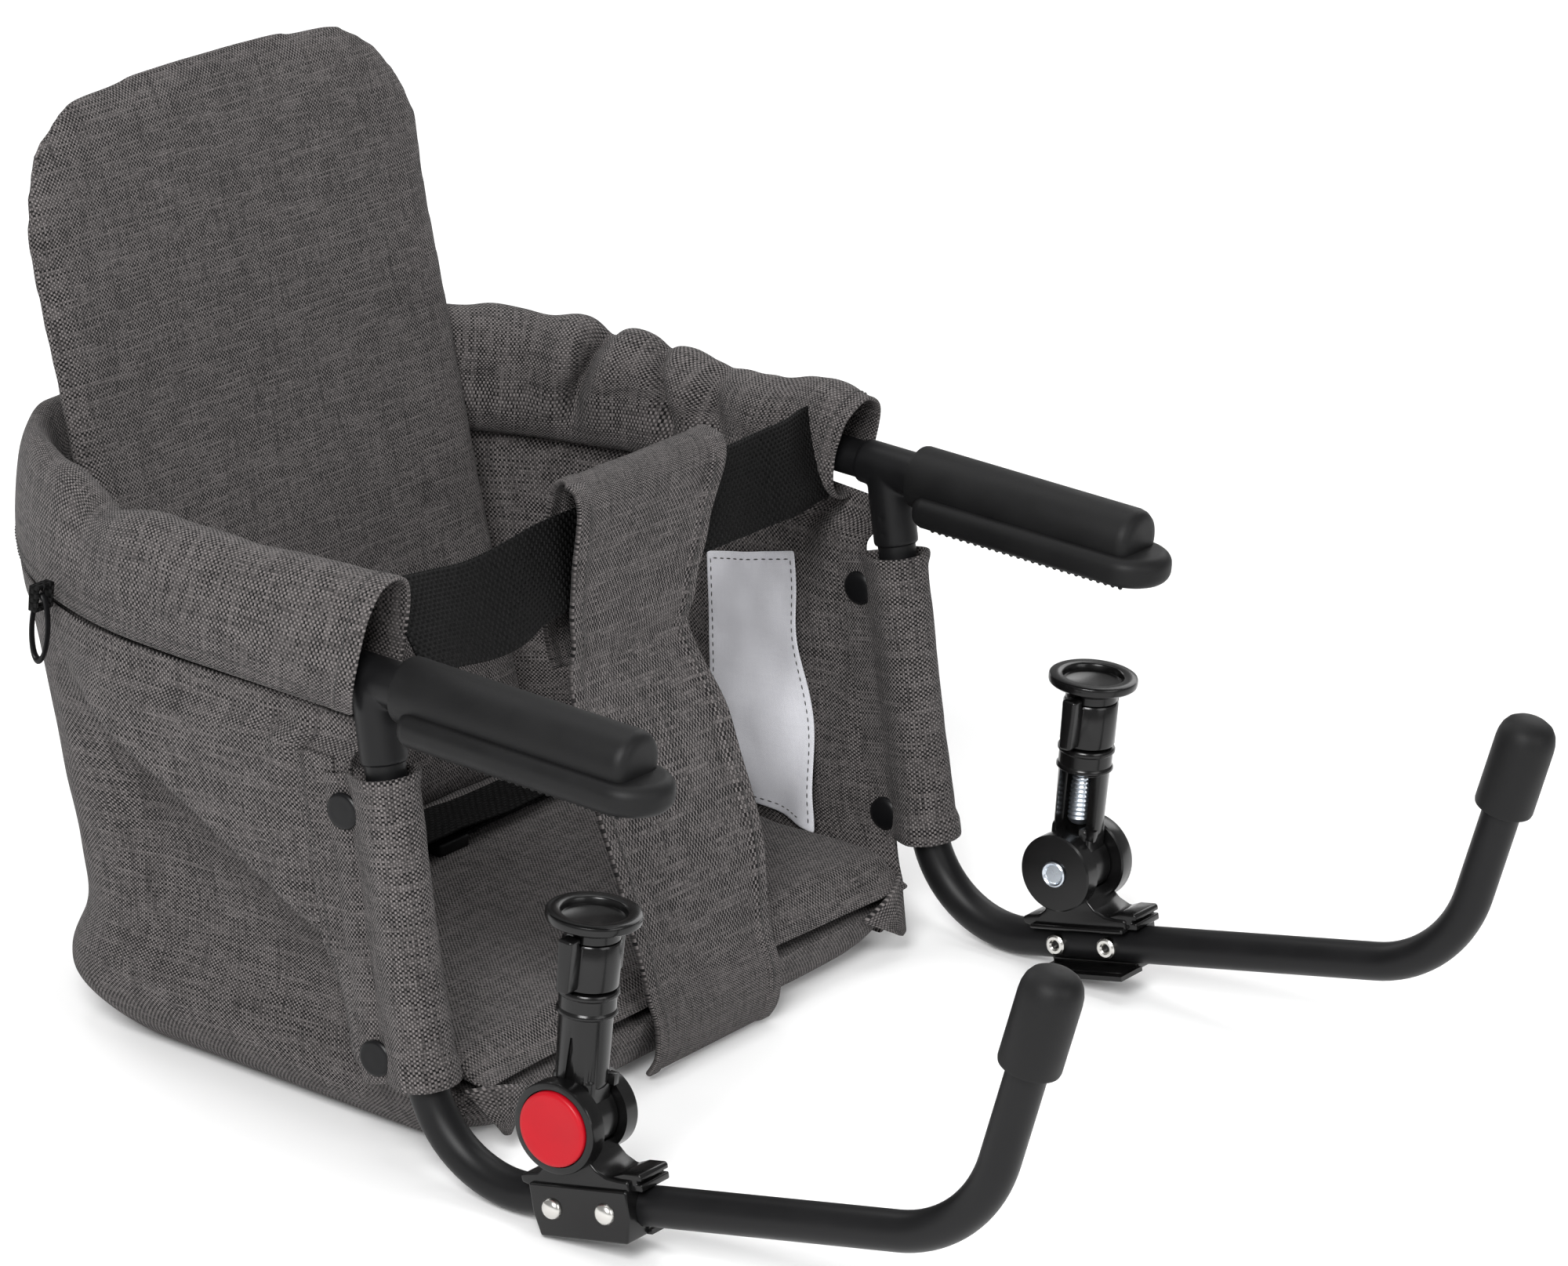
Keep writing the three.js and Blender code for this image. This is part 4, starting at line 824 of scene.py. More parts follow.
@dataclass
class TubeFrame:
    """The bent tubes with their tees, grips and caps, in millimetres and degrees."""

    tube_r: float = 8.0
    half_spacing: float = 176.0
    arm_z: float = 195.8
    arm_front: float = -11.0
    rail_rear: float = 340.0
    rail_bend: float = 125.0
    bar_rise: float = 13.4
    bar_z: float = 14.3
    heel_y: float = 62.4
    heel_bend: float = 46.0
    toe_y: float = -179.5
    toe_bend: float = 54.0
    tip_lean: float = 11.5
    tip_length: float = 104.0
    grip_r: float = 13.5
    sole_z: float = 179.2
    sole_top: float = 192.2
    sole_half: float = 17.6
    sole_front: float = -29.0

    def __post_init__(self) -> None:
        """Works out the corner points of the side view."""
        rise = math.radians(self.bar_rise)
        lean = math.radians(self.tip_lean)
        self.upright = Vector((0, math.sin(rise), math.cos(rise)))
        self.heel = Vector((0, self.heel_y, self.bar_z - self.heel_y * math.tan(rise)))
        self.toe = Vector((0, self.toe_y, self.bar_z - self.toe_y * math.tan(rise)))
        self.upright_length = (self.arm_z - self.heel.z) / self.upright.z
        self.tee_point = self.heel + self.upright * self.upright_length
        self.tip_way = Vector((0, -math.sin(lean), math.cos(lean)))
        self.tip_end = self.toe + self.tip_way * self.tip_length

    def rail(self) -> None:
        """The rear rail with both arms."""
        x = self.half_spacing
        corners = [at(s * x, y, self.arm_z) for s, y in
                   ((-1, self.arm_front), (-1, self.rail_rear), (1, self.rail_rear), (1, self.arm_front))]
        obj = bent_tube(corners, [self.rail_bend * MM] * 2, self.tube_r * MM)
        dress(obj, "rear_rail_tube", POWDER, "tube", "frame", "rear_rail")

    def lower(self) -> bpy.types.Object:
        """The right lower tube: upright, bar and tip."""
        start = self.tee_point - self.upright * (self.tube_r * 1.3)
        corners = [at(self.half_spacing, p.y, p.z) for p in (start, self.heel, self.toe, self.tip_end)]
        return bent_tube(corners, [self.heel_bend * MM, self.toe_bend * MM], self.tube_r * MM)

    def tee(self) -> bpy.types.Object:
        """The right tee: a collar on the rail with a socket for the upright."""
        rise = Matrix.Rotation(-math.radians(self.bar_rise), 4, "X")
        collar = turned([(8.9, -11.7), (9.4, -11.2), (9.4, 15.2), (8.9, 15.8)])
        settle(collar, Matrix.Rotation(math.radians(90), 4, "X"))
        socket = turned([(8.9, -33.0), (9.4, -32.4), (9.4, 0.0)])
        settle(socket, rise)
        combine(collar, Merge.ADD, socket)
        for drop in (-20.0, -27.0):
            dent = turned([(0.9, 8.6), (1.0, 9.9)], 14)
            settle(dent, rise @ Matrix.Translation((0, 0, drop * MM))
                   @ Matrix.Rotation(math.radians(-90), 4, "Y"))
            combine(collar, Merge.TAKE, dent)
        modify(collar, "REMESH", mode="VOXEL", voxel_size=0.0006)
        modify(collar, "SMOOTH", factor=0.5, iterations=14)
        settle(collar, Matrix.Translation(at(self.half_spacing, self.tee_point.y, self.arm_z)))
        return shade(collar)

    def grip(self) -> bpy.types.Object:
        """The right grip: a round barrel on a flat sole with a rolled lip."""
        rear = self.tee_point.y - 16.1
        front = -16.3
        r = self.grip_r
        barrel = turned([(r - 1.4, -rear), (r - 0.3, -rear + 0.4), (r, -rear + 1.6), (r, -front - 5.2),
                         (r - 0.5, -front - 2.8),
                         (r - 1.7, -front - 1.0), (r - 3.6, -front - 0.2), (r - 6, -front)], 56)
        settle(barrel, Matrix.Translation((0, 0, self.arm_z * MM))
               @ Matrix.Rotation(math.radians(90), 4, "X"))
        half = self.sole_half
        plan = [(-half, rear - 11)] + [
            (half * math.cos(a), self.sole_front + half + half * math.sin(a))
            for a in np.linspace(math.pi, 2 * math.pi, 21)] + [(half, rear - 11), (half * 0.82, rear - 5),
                                                               (-half * 0.82, rear - 5)]
        sole = prism([(-x, y) for x, y in plan], self.sole_z, self.sole_top)
        settle(sole, Matrix(((0, -1, 0, 0), (0, 0, 1, 0), (1, 0, 0, 0), (0, 0, 0, 1))))
        modify(sole, "BEVEL", width=0.0052, segments=6, limit_method="ANGLE", angle_limit=math.radians(60))
        combine(sole, Merge.ADD, barrel)
        soften(sole, 0.9, 3, 38)
        return settle(sole, Matrix.Translation(at(self.half_spacing, 0, 0)))

    def studs(self) -> bpy.types.Object:
        """The rows of small studs under the right sole."""
        pick(None)
        bpy.ops.mesh.primitive_ico_sphere_add(subdivisions=1, radius=0.0011, location=(0, 0, 0))
        stud = bpy.context.object
        rear = self.tee_point.y - 30
        count = 27
        modify(stud, "ARRAY", count=count, use_relative_offset=False, use_constant_offset=True,
               constant_offset_displace=(0, (rear - self.sole_front - 16) * MM / (count - 1), 0))
        modify(stud, "ARRAY", count=5, use_relative_offset=False, use_constant_offset=True,
               constant_offset_displace=(0.0066, 0, 0))
        settle(stud, Matrix.Translation(at(self.half_spacing - 13.2, self.sole_front + 13, self.sole_z
                                           + 0.3)))
        return shade(stud, 80)

    def tip_cap(self) -> bpy.types.Object:
        """The right rubber cap on the tube's tip."""
        r, length = 12.2, 41.0
        cap = turned([(8.6, 0.0), (r - 1.2, 0.0), (r - 0.3, 0.5), (r, 1.6), (r, 30), (r - 0.25, 33),
                      (r - 1.1, 36), (r - 2.6, 38.3),
                      (r - 4.8, 39.8), (r - 7.6, 40.7), (r - 10, length), (0.4, length)], 56)
        where = self.tip_end + self.tip_way * (0.3 - 29)
        settle(cap, Matrix.Translation(at(self.half_spacing, where.y, where.z))
               @ Matrix.Rotation(math.radians(self.tip_lean), 4, "X"))
        return shade(cap)

    def build(self) -> None:
        """Builds and dresses the frame."""
        self.rail()
        pieces = [("lower_tube", self.lower(), "bent_bar", POWDER, "tube"),
                  ("tee", self.tee(), "tee_fitting", POWDER, "moulding"),
                  ("grip", self.grip(), "arm_grip", RUBBER, "rubber"),
                  ("tip_cap", self.tip_cap(), "tip_sleeve", RUBBER, "rubber"),
                  ("", self.studs(), "grip_studs", RUBBER, "rubber")]
        for node, right, label, finish, slot in pieces:
            for (word, _), obj in zip(SIDES, (mirrored(right), right)):
                nodes = [f"{word}_{node}"] if node else []
                dress(obj, f"{word}_{label}", finish, slot, "frame", *nodes)


# Screw clamps

@dataclass
class Clamp:
    """A bracket with a folding post, a screw with a winged knob and a table pad, in millimetres."""

    tubes: TubeFrame
    pivot_z: float = 48.5
    button_r: float = 15.0
    cheek_out: float = 16.5
    cheek_in: float = 15.9
    knob_foot: float = 55.0
    knob_top: float = 74.0
    pitch: float = 2.0

    def to_bar(self, obj: bpy.types.Object) -> bpy.types.Object:
        """Moves a piece from the bar's own frame to its place."""
        return settle(obj, Matrix.Translation(at(self.tubes.half_spacing, 0, self.tubes.bar_z))
                      @ Matrix.Rotation(-math.radians(self.tubes.bar_rise), 4, "X"))

    def to_pivot(self, obj: bpy.types.Object) -> bpy.types.Object:
        """Moves a piece from the pivot's frame to its place."""
        return settle(obj, Matrix.Translation(at(self.tubes.half_spacing, 0, self.pivot_z)))

    def lying(self, obj: bpy.types.Object, y: float = 0.0, z: float = 0.0) -> bpy.types.Object:
        """Turns a body about Z so that its axis lies along X."""
        return settle(obj, Matrix.Translation((0, y * MM, z * MM))
                      @ Matrix.Rotation(math.radians(90), 4, "Y"))

    def bracket(self) -> bpy.types.Object:
        """The bracket: a saddle plate on the tube, an anvil with a front catch and two round cheeks."""
        rise = math.radians(self.tubes.bar_rise)
        up = self.pivot_z - self.tubes.bar_z
        y, z = -up * math.sin(rise), up * math.cos(rise)
        base = prism([(-34, -11.6), (7, -11.6), (9.5, -2), (10, 9.5), (-36, 9.5), (-36, -2)], -12.5, 13.5)
        opening = brick((-20, -60, -9.4), (-1.0, 30, 7.4))
        combine(base, Merge.TAKE, opening)
        lip = prism([(-36, -11.6), (4, -11.6), (4, -9.6), (-36, -9.6)], -16.5, 0)
        anvil = prism([(-36, 7.6), (11, 7.6), (14.5, 8.6), (15, 11.5), (12, 12.6), (6.5, 13.0),
                       (3.4, 15.2), (1.8, 19), (1.0, 25),
                       (-17, 25), (-18.5, 20), (-21.5, 16.4), (-26, 13.8), (-31, 13.0), (-36, 12.8)], -9.5,
                       11.5)
        catch = prism([(-41, 8.5), (-28, 8.5), (-28, 14.0), (-33, 15.4), (-40.2, 15.4), (-41, 14.4)], -8.5,
                      9.5)
        combine(catch, Merge.TAKE, prism([(-42, 11.4), (-38.6, 11.4), (-38.6, 12.6), (-42, 12.6)], -9, 10))
        for block in (base, anvil, catch):
            modify(block, "BEVEL", width=0.0010, segments=3, limit_method="ANGLE",
                   angle_limit=math.radians(30))
        outer = self.lying(turned([(17.8, 8.3), (18.5, 9.0), (18.5, 15.6), (18.2, 16.2),
                                   (17.6, self.cheek_out)], 72), y, z)
        inner = self.lying(turned([(15.9, -self.cheek_in), (16.6, -self.cheek_in + 0.7), (16.6, -8.3)],
                                  72), y, z)
        combine(base, Merge.ADD, lip, anvil, catch, outer, inner)
        pocket = self.lying(turned([(self.button_r + 0.5, self.cheek_out - 5.5),
                                    (self.button_r + 0.5, self.cheek_out + 1)], 64), y, z)
        room = self.lying(turned([(13.7, -8.25), (13.7, 8.25)], 56), y, z)
        bore = self.lying(turned([(5.3, -20), (5.3, 20)], 32), y, z)
        tube = turned([(8.2, -60), (8.2, 60)], 40)
        settle(tube, Matrix.Rotation(math.radians(90), 4, "X"))
        combine(base, Merge.TAKE, pocket, room, bore, tube)
        shade(base, 35)
        return self.to_bar(base)

    def bolts(self) -> bpy.types.Object:
        """One rivet bolt: domed outside, with a rolled hollow end on the tube inside."""
        bolt = turned([(0.6, -7.6), (1.6, -7.7), (1.8, -9.4), (2.5, -10.1), (3.6, -10.1), (4.4, -9.5),
                       (4.6, -8.4), (4.6, -6.2), (2.4, -6.1),
                       (2.4, 13.4), (4.4, 13.5), (4.2, 14.4), (3.6, 15.2), (2.6, 15.8), (1.3, 16.1),
                       (0.3, 16.2)], 32)
        return shade(self.lying(bolt), 35)

    def pin(self) -> bpy.types.Object:
        """The pivot pin with its rimmed head on the inside."""
        pin = turned([(0.4, -16.3), (3.8, -16.3), (4.3, -17.1), (4.9, -17.4), (5.5, -17.0), (5.6, -16.2),
                      (5.0, -16.1), (5.0, 10.7),
                      (0.4, 10.7)], 40)
        return shade(self.lying(pin), 35)

    def button(self) -> bpy.types.Object:
        """The round release button with its dished face."""
        r, back = self.button_r, self.cheek_out - 5.5 + 2.8
        face = back + 4.6
        button = turned([(r - 0.4, back), (r, back + 0.4), (r, face - 1.3), (r - 0.25, face - 0.6),
                         (r - 0.9, face - 0.12),
                         (r - 2.0, face), (r - 4.5, face - 0.18), (r - 8, face - 0.42),
                         (r - 12, face - 0.58), (0.4, face - 0.62)], 64)
        return shade(self.lying(button), 50)

    def post(self) -> bpy.types.Object:
        """The folding post: an eye, a round shaft with a long window and a ridged collar."""
        eye = self.lying(turned([(12.4, -8.0), (13.0, -7.4), (13.0, 7.4), (12.4, 8.0)], 56))
        shank = brick((-8, -9.4, 0), (8, 9.4, 20))
        modify(shank, "BEVEL", width=0.0030, segments=4, limit_method="ANGLE", angle_limit=math.radians(50))
        shaft = turned([(9.6, 14.5), (10.2, 15.4), (10.3, 17), (10.7, 43.4), (11.4, 43.8), (11.9, 44.3),
                        (11.9, 45.2), (11.5, 45.8),
                        (11.2, 46.2), (11.2, 51.2), (11.5, 51.6), (12.0, 52.1), (12.0, 53.2),
                        (11.5, 54.0)], 64)
        rib = prism([(-12.0, 15), (-8.5, 15), (-8.5, 43), (-9.5, 43), (-12.0, 39.5)], -7.2, -4.2)
        combine(eye, Merge.ADD, shank, shaft, rib)
        window = brick((-14, -13, 19.5), (-3.4, 6.4, 43.0))
        channel = brick((-14, -5.6, 16), (5.4, 5.6, 43.6))
        groove = prism([(-3.8, 13.5), (1.4, 13.5), (-0.6, 36), (-1.6, 36)], 9.3, 14)
        nut = turned([(5.3, 14), (5.3, 60)], 32)
        bore = self.lying(turned([(5.08, -12), (5.08, 12)], 32))
        combine(eye, Merge.TAKE, window, channel, groove, nut, bore)
        modify(eye, "BEVEL", width=0.0004, segments=2, limit_method="ANGLE", angle_limit=math.radians(55))
        return self.to_pivot(shade(eye, 35))

    def rod(self) -> bpy.types.Object:
        """The screw with its thread cut along it."""
        low, high = 19.0, 66.0
        pick(None)
        bpy.ops.mesh.primitive_circle_add(vertices=4, radius=0.001, fill_type="NOTHING")
        tooth = bpy.context.object
        shape = ((4.25, 0.0), (5.0, 0.75), (5.0, 1.15), (4.25, self.pitch))
        for vertex, (r, z) in zip(tooth.data.vertices, shape):
            vertex.co = Vector((r, 0, z)) * MM
        with editing(tooth):
            bpy.ops.mesh.select_all(action="DESELECT")
        for edge in tooth.data.edges:
            edge.select = set(edge.vertices) == {0, 3}
        with editing(tooth):
            bpy.ops.mesh.select_mode(type="EDGE")
            bpy.ops.mesh.delete(type="EDGE")
        modify(tooth, "SCREW", angle=2 * math.pi, screw_offset=self.pitch * MM,
               iterations=int((high - low) / self.pitch) - 1,
               steps=36, render_steps=36, use_merge_vertices=True, merge_threshold=0.00002)
        settle(tooth, Matrix.Translation((0, 0, (low + 0.6) * MM)))
        core = turned([(3.4, low), (4.3, low + 0.9), (4.3, high)], 36)
        pick(tooth)
        core.select_set(True)
        bpy.ops.object.join()
        with editing(tooth):
            bpy.ops.mesh.select_all(action="SELECT")
            bpy.ops.mesh.normals_make_consistent(inside=False)
        return self.to_pivot(shade(tooth, 50))

    def knob(self) -> bpy.types.Object:
        """The winged knob, with its wings up under the pad."""
        low, high = self.knob_foot, self.knob_top
        barrel = turned([(10.4, low), (11.3, low + 0.4), (11.5, low + 1.1), (11.5, high - 0.8),
                         (11.0, high)], 56)
        combine(barrel, Merge.ADD, *self.wings(low, high))
        return self.to_pivot(shade(barrel, 35))

    def wings(self, low: float, high: float) -> list[bpy.types.Object]:
        """The knob's two wings, each a rounded plate standing off the barrel."""
        wings = []
        for way in (-1, 1):
            wing = prism([(-2.7, low + 1.0), (2.7, low + 1.0), (3.3, high + 3.8), (-3.3, high + 3.8)], 8.0,
                         18.4)
            cut = brick((5, -5, high - 0.2), (11.7, 5, high + 6))
            combine(wing, Merge.TAKE, cut)
            modify(wing, "BEVEL", width=0.0013, segments=4, limit_method="ANGLE",
                   angle_limit=math.radians(50))
            wings.append(settle(wing, Matrix.Rotation(0 if way > 0 else math.pi, 4, "Z")))
        return wings

    def pad(self) -> bpy.types.Object:
        """The flared pad with its flat rim and dished top."""
        foot = self.knob_top + 0.3
        r, under = 18.6, foot + 4.7
        top = under + 6
        pad = turned([(10.6, foot), (10.9, foot + 0.4), (10.9, foot + 3.4), (12.2, under - 0.5),
                      (14.6, under + 0.4),
                      (r - 1.0, under + 1.8), (r - 0.2, under + 2.5), (r, under + 3.2), (r, top - 1.0),
                      (r - 0.3, top - 0.35),
                      (r - 0.9, top), (13.5, top), (13.0, top - 0.3), (12.7, top - 0.8), (12.4, top - 2.8),
                      (12.0, top - 3.0),
                      (0.4, top - 3.0)], 72)
        return self.to_pivot(shade(pad, 32))

    def build(self) -> None:
        """Builds and dresses both clamps."""
        bolt = self.bolts()
        fore = bolt.copy()
        fore.data = bolt.data.copy()
        bpy.context.scene.collection.objects.link(fore)
        settle(fore, Matrix.Translation((0, -0.025, 0)))
        pieces = [("bracket", self.bracket(), "clamp_bracket", GLOSS, "moulding", "frame"),
                  ("bolt_rear", self.to_bar(bolt), "rear_rivet", NICKEL, "zinc", "frame"),
                  ("bolt_front", self.to_bar(fore), "front_rivet", NICKEL, "zinc", "frame"),
                  ("pivot_pin", self.to_pivot(self.pin()), "pivot_rivet", ZINC, "zinc", "frame"),
                  ("release_button", self.to_pivot(self.button()), "push_button", RED, "red",
                   "{}_button_body"),
                  ("post", self.post(), "folding_post", GLOSS, "moulding", "{}_post_body"),
                  ("screw_rod", self.rod(), "threaded_rod", ZINC, "zinc", "{}_screw_body"),
                  ("knob", self.knob(), "winged_knob", GLOSS, "moulding", "{}_screw_body"),
                  ("table_pad", self.pad(), "flared_pad", GLOSS, "moulding", "{}_lift_body")]
        for node, right, label, finish, slot, body in pieces:
            for (word, _), obj in zip(SIDES, (mirrored(right), right)):
                dress(obj, f"{word}_{label}", finish, slot, body.format(word), f"{word}_{node}")


# Fabric seat

@dataclass
class SeatWalls:
    """The cloth walls, from the snap strips round the rear, with the rolled foot, in millimetres."""

    tubes: TubeFrame
    seat_half: float = 160.4
    seat_rear: float = 261.4
    seat_corner: float = 34.0
    top_out: float = 6.0
    low_z: float = 27.0
    top_z: float = 181.0
    foot_z: float = 3.0
    tail: float = 17.0
    rear_half: float = 50.0

    def plan(self, z: float) -> tuple[float, float, float, float]:
        """Half width, rear, corner radius and front of the wall at a height."""
        t = max(0.0, (z - self.low_z) / (178.4 - self.low_z))
        half = self.seat_half + (self.tubes.half_spacing + self.top_out - self.seat_half) * t
        rear = self.seat_rear + (self.tubes.rail_rear + self.top_out - self.seat_rear) * t
        corner = self.seat_corner + (self.tubes.rail_bend + self.top_out - self.seat_corner) * t
        rim = hump(z, 27, 17)
        half += 4.5 * rim
        rear += 13 * rim
        if z < self.low_z:
            tuck = 1 - math.sqrt(max(0.0, 1 - (1 - z / self.low_z) ** 2))
            half -= 26 * tuck
            rear -= 24 * tuck
        slant = math.tan(math.radians(self.tubes.bar_rise))
        front = self.tubes.heel.y + (max(z, 34) - self.tubes.heel.z) * slant + self.tail
        front -= 14 * ease((40 - z) / 24) + 11 * ease((z - 158) / 14)
        return half, rear, corner, front

    def reach(self, z: float) -> float:
        """Length of a side panel at a height."""
        half, rear, corner, front = self.plan(z)
        return rear - corner - front + corner * math.pi / 2 + half - corner - self.rear_half

    def crease(self, run: float, z: float) -> float:
        """Outward push of the left wall's long slanting fold, at a place along the wall."""
        below = (160 - (261 - run) * 0.539 - z) * 0.880
        along = (261 - run) / 155
        strength = ease((along + 0.06) / 0.3) * (1 - 0.8 * ease((along - 0.9) / 0.22))
        if below < 0:
            return 9 * math.exp(below / 40) * strength
        t = min(1.0, below / 30)
        push = 9 - 30 * (1 - (1 - t) ** 2) + 21 * ease((below - 30) / 70)
        return push * strength

    def spot(self, side: int, run: float, z: float) -> Vector:
        """A place on the wall.

        Args:
            side: -1 for left, 1 for right.
            run: Share of the way from the front edge to the end of the side panel.
            z: Height in millimetres.

        Returns:
            The place in metres.
        """
        half, rear, corner, front = self.plan(z)
        straight = rear - corner - front
        arc = corner * math.pi / 2
        way = run * self.reach(z)
        body = ease((z - 14) / 30) * ease((self.top_z - z) / 24)
        push = (self.crease(front + way, z) * ease((way - 14) / 26) * ease((z
            - 12) / 30) * ease((self.top_z - z) / 16) if side < 0 else 0.0)
        push += 1.2 * ripple(way / 34, z / 60, 1.7 * side) * body * ease(way / 18) * ease((1 - run) / 0.15)
        push += 0.6 * ripple(way / 12, z / 22, 5.0 * side) * body * ease((1 - run) / 0.15)
        if z > 169.5:
            push += 0.9
        if way < straight:
            near = max(0.0, 1 - way / 80)
            lift = ease((z - 22) / 20)
            x = half + (self.tubes.half_spacing + 0.2 - half) * near * near * lift
            y = front + way
            if side > 0:
                push += 4.0 * math.sin((y - 100 + z * 0.35) / 17) * hump(y, 225,
                                                                         50) * ease((150 - z) / 100) * body
                push += 1.6 * math.sin((y + z * 0.2) / 5.5) * hump(y, 128, 18) * body
            pinch = 2.6 * hump(z, 166, 13) * hump(way, 30, 17) * math.sin(way / 3.4 + z / 9)
            x += push + pinch * ease((self.top_z - z) / 10) * ease((way - 12) / 10)
        elif way < straight + arc:
            angle = (way - straight) / corner
            x = half - corner + (corner + push) * math.cos(angle)
            y = rear - corner + (corner + push) * math.sin(angle)
        else:
            x = half - corner - (way - straight - arc)
            y = rear + push
        return at(side * x, y, z)

    def heights(self, v: float) -> float:
        """Height at v, with more rows at the rolled foot."""
        return self.foot_z + (self.top_z - self.foot_z) * (0.25 * v * v + 0.75 * v)

    def across(self, u: float, v: float) -> Vector:
        """A place on the rear panel."""
        z = self.heights(v)
        body = ease((z - 14) / 30) * ease((self.top_z - z) / 24)
        x = (2 * u - 1) * self.rear_half
        swell = 2.2 * ripple(x / 45, z / 40, 2.2) * body * ease((self.rear_half - abs(x)) / 25)
        return at(x, self.plan(z)[1] + swell + (0.9 if z > 169.5 else 0.0), z)

    def strip(self, side: int, u: float, v: float) -> Vector:
        """A place on the folded strip that is sewn along the wall's front edge."""
        foot, tall = 30, 140
        z = 33 + 127 * v

        def wall(along: float, rise: float) -> Vector:
            """A place on the wall behind the strip, with rise from 0 at its foot to 1."""
            return self.spot(side, along, foot + tall * rise)

        lift = side * (1.4 + 1.6 * ease(u / 0.9))
        return above(wall, (7 + 18 * u) / self.reach(z), (z - foot) / tall, lift)

    def build(self) -> None:
        """Sews the two side panels with their strips, and the rear panel."""
        for word, side in SIDES:
            sheet, width, length = Cloth(124, 62, 1.8).sew(lambda u, v: self.spot(side, u, self.heights(v)))
            dress(sheet, f"{word}_wall_cloth", MELANGE, "cloth", "frame", f"{word}_side_panel")
            sheet, width, length = Cloth(10, 60, 2.0).sew(lambda u, v: self.strip(side, u, v))
            dress(sheet, f"{word}_snap_strip", MELANGE, "cloth", "frame")
        sheet, width, length = Cloth(36, 62, 1.8).sew(self.across)
        dress(sheet, "rear_wall_cloth", MELANGE, "cloth", "frame", "rear_panel")


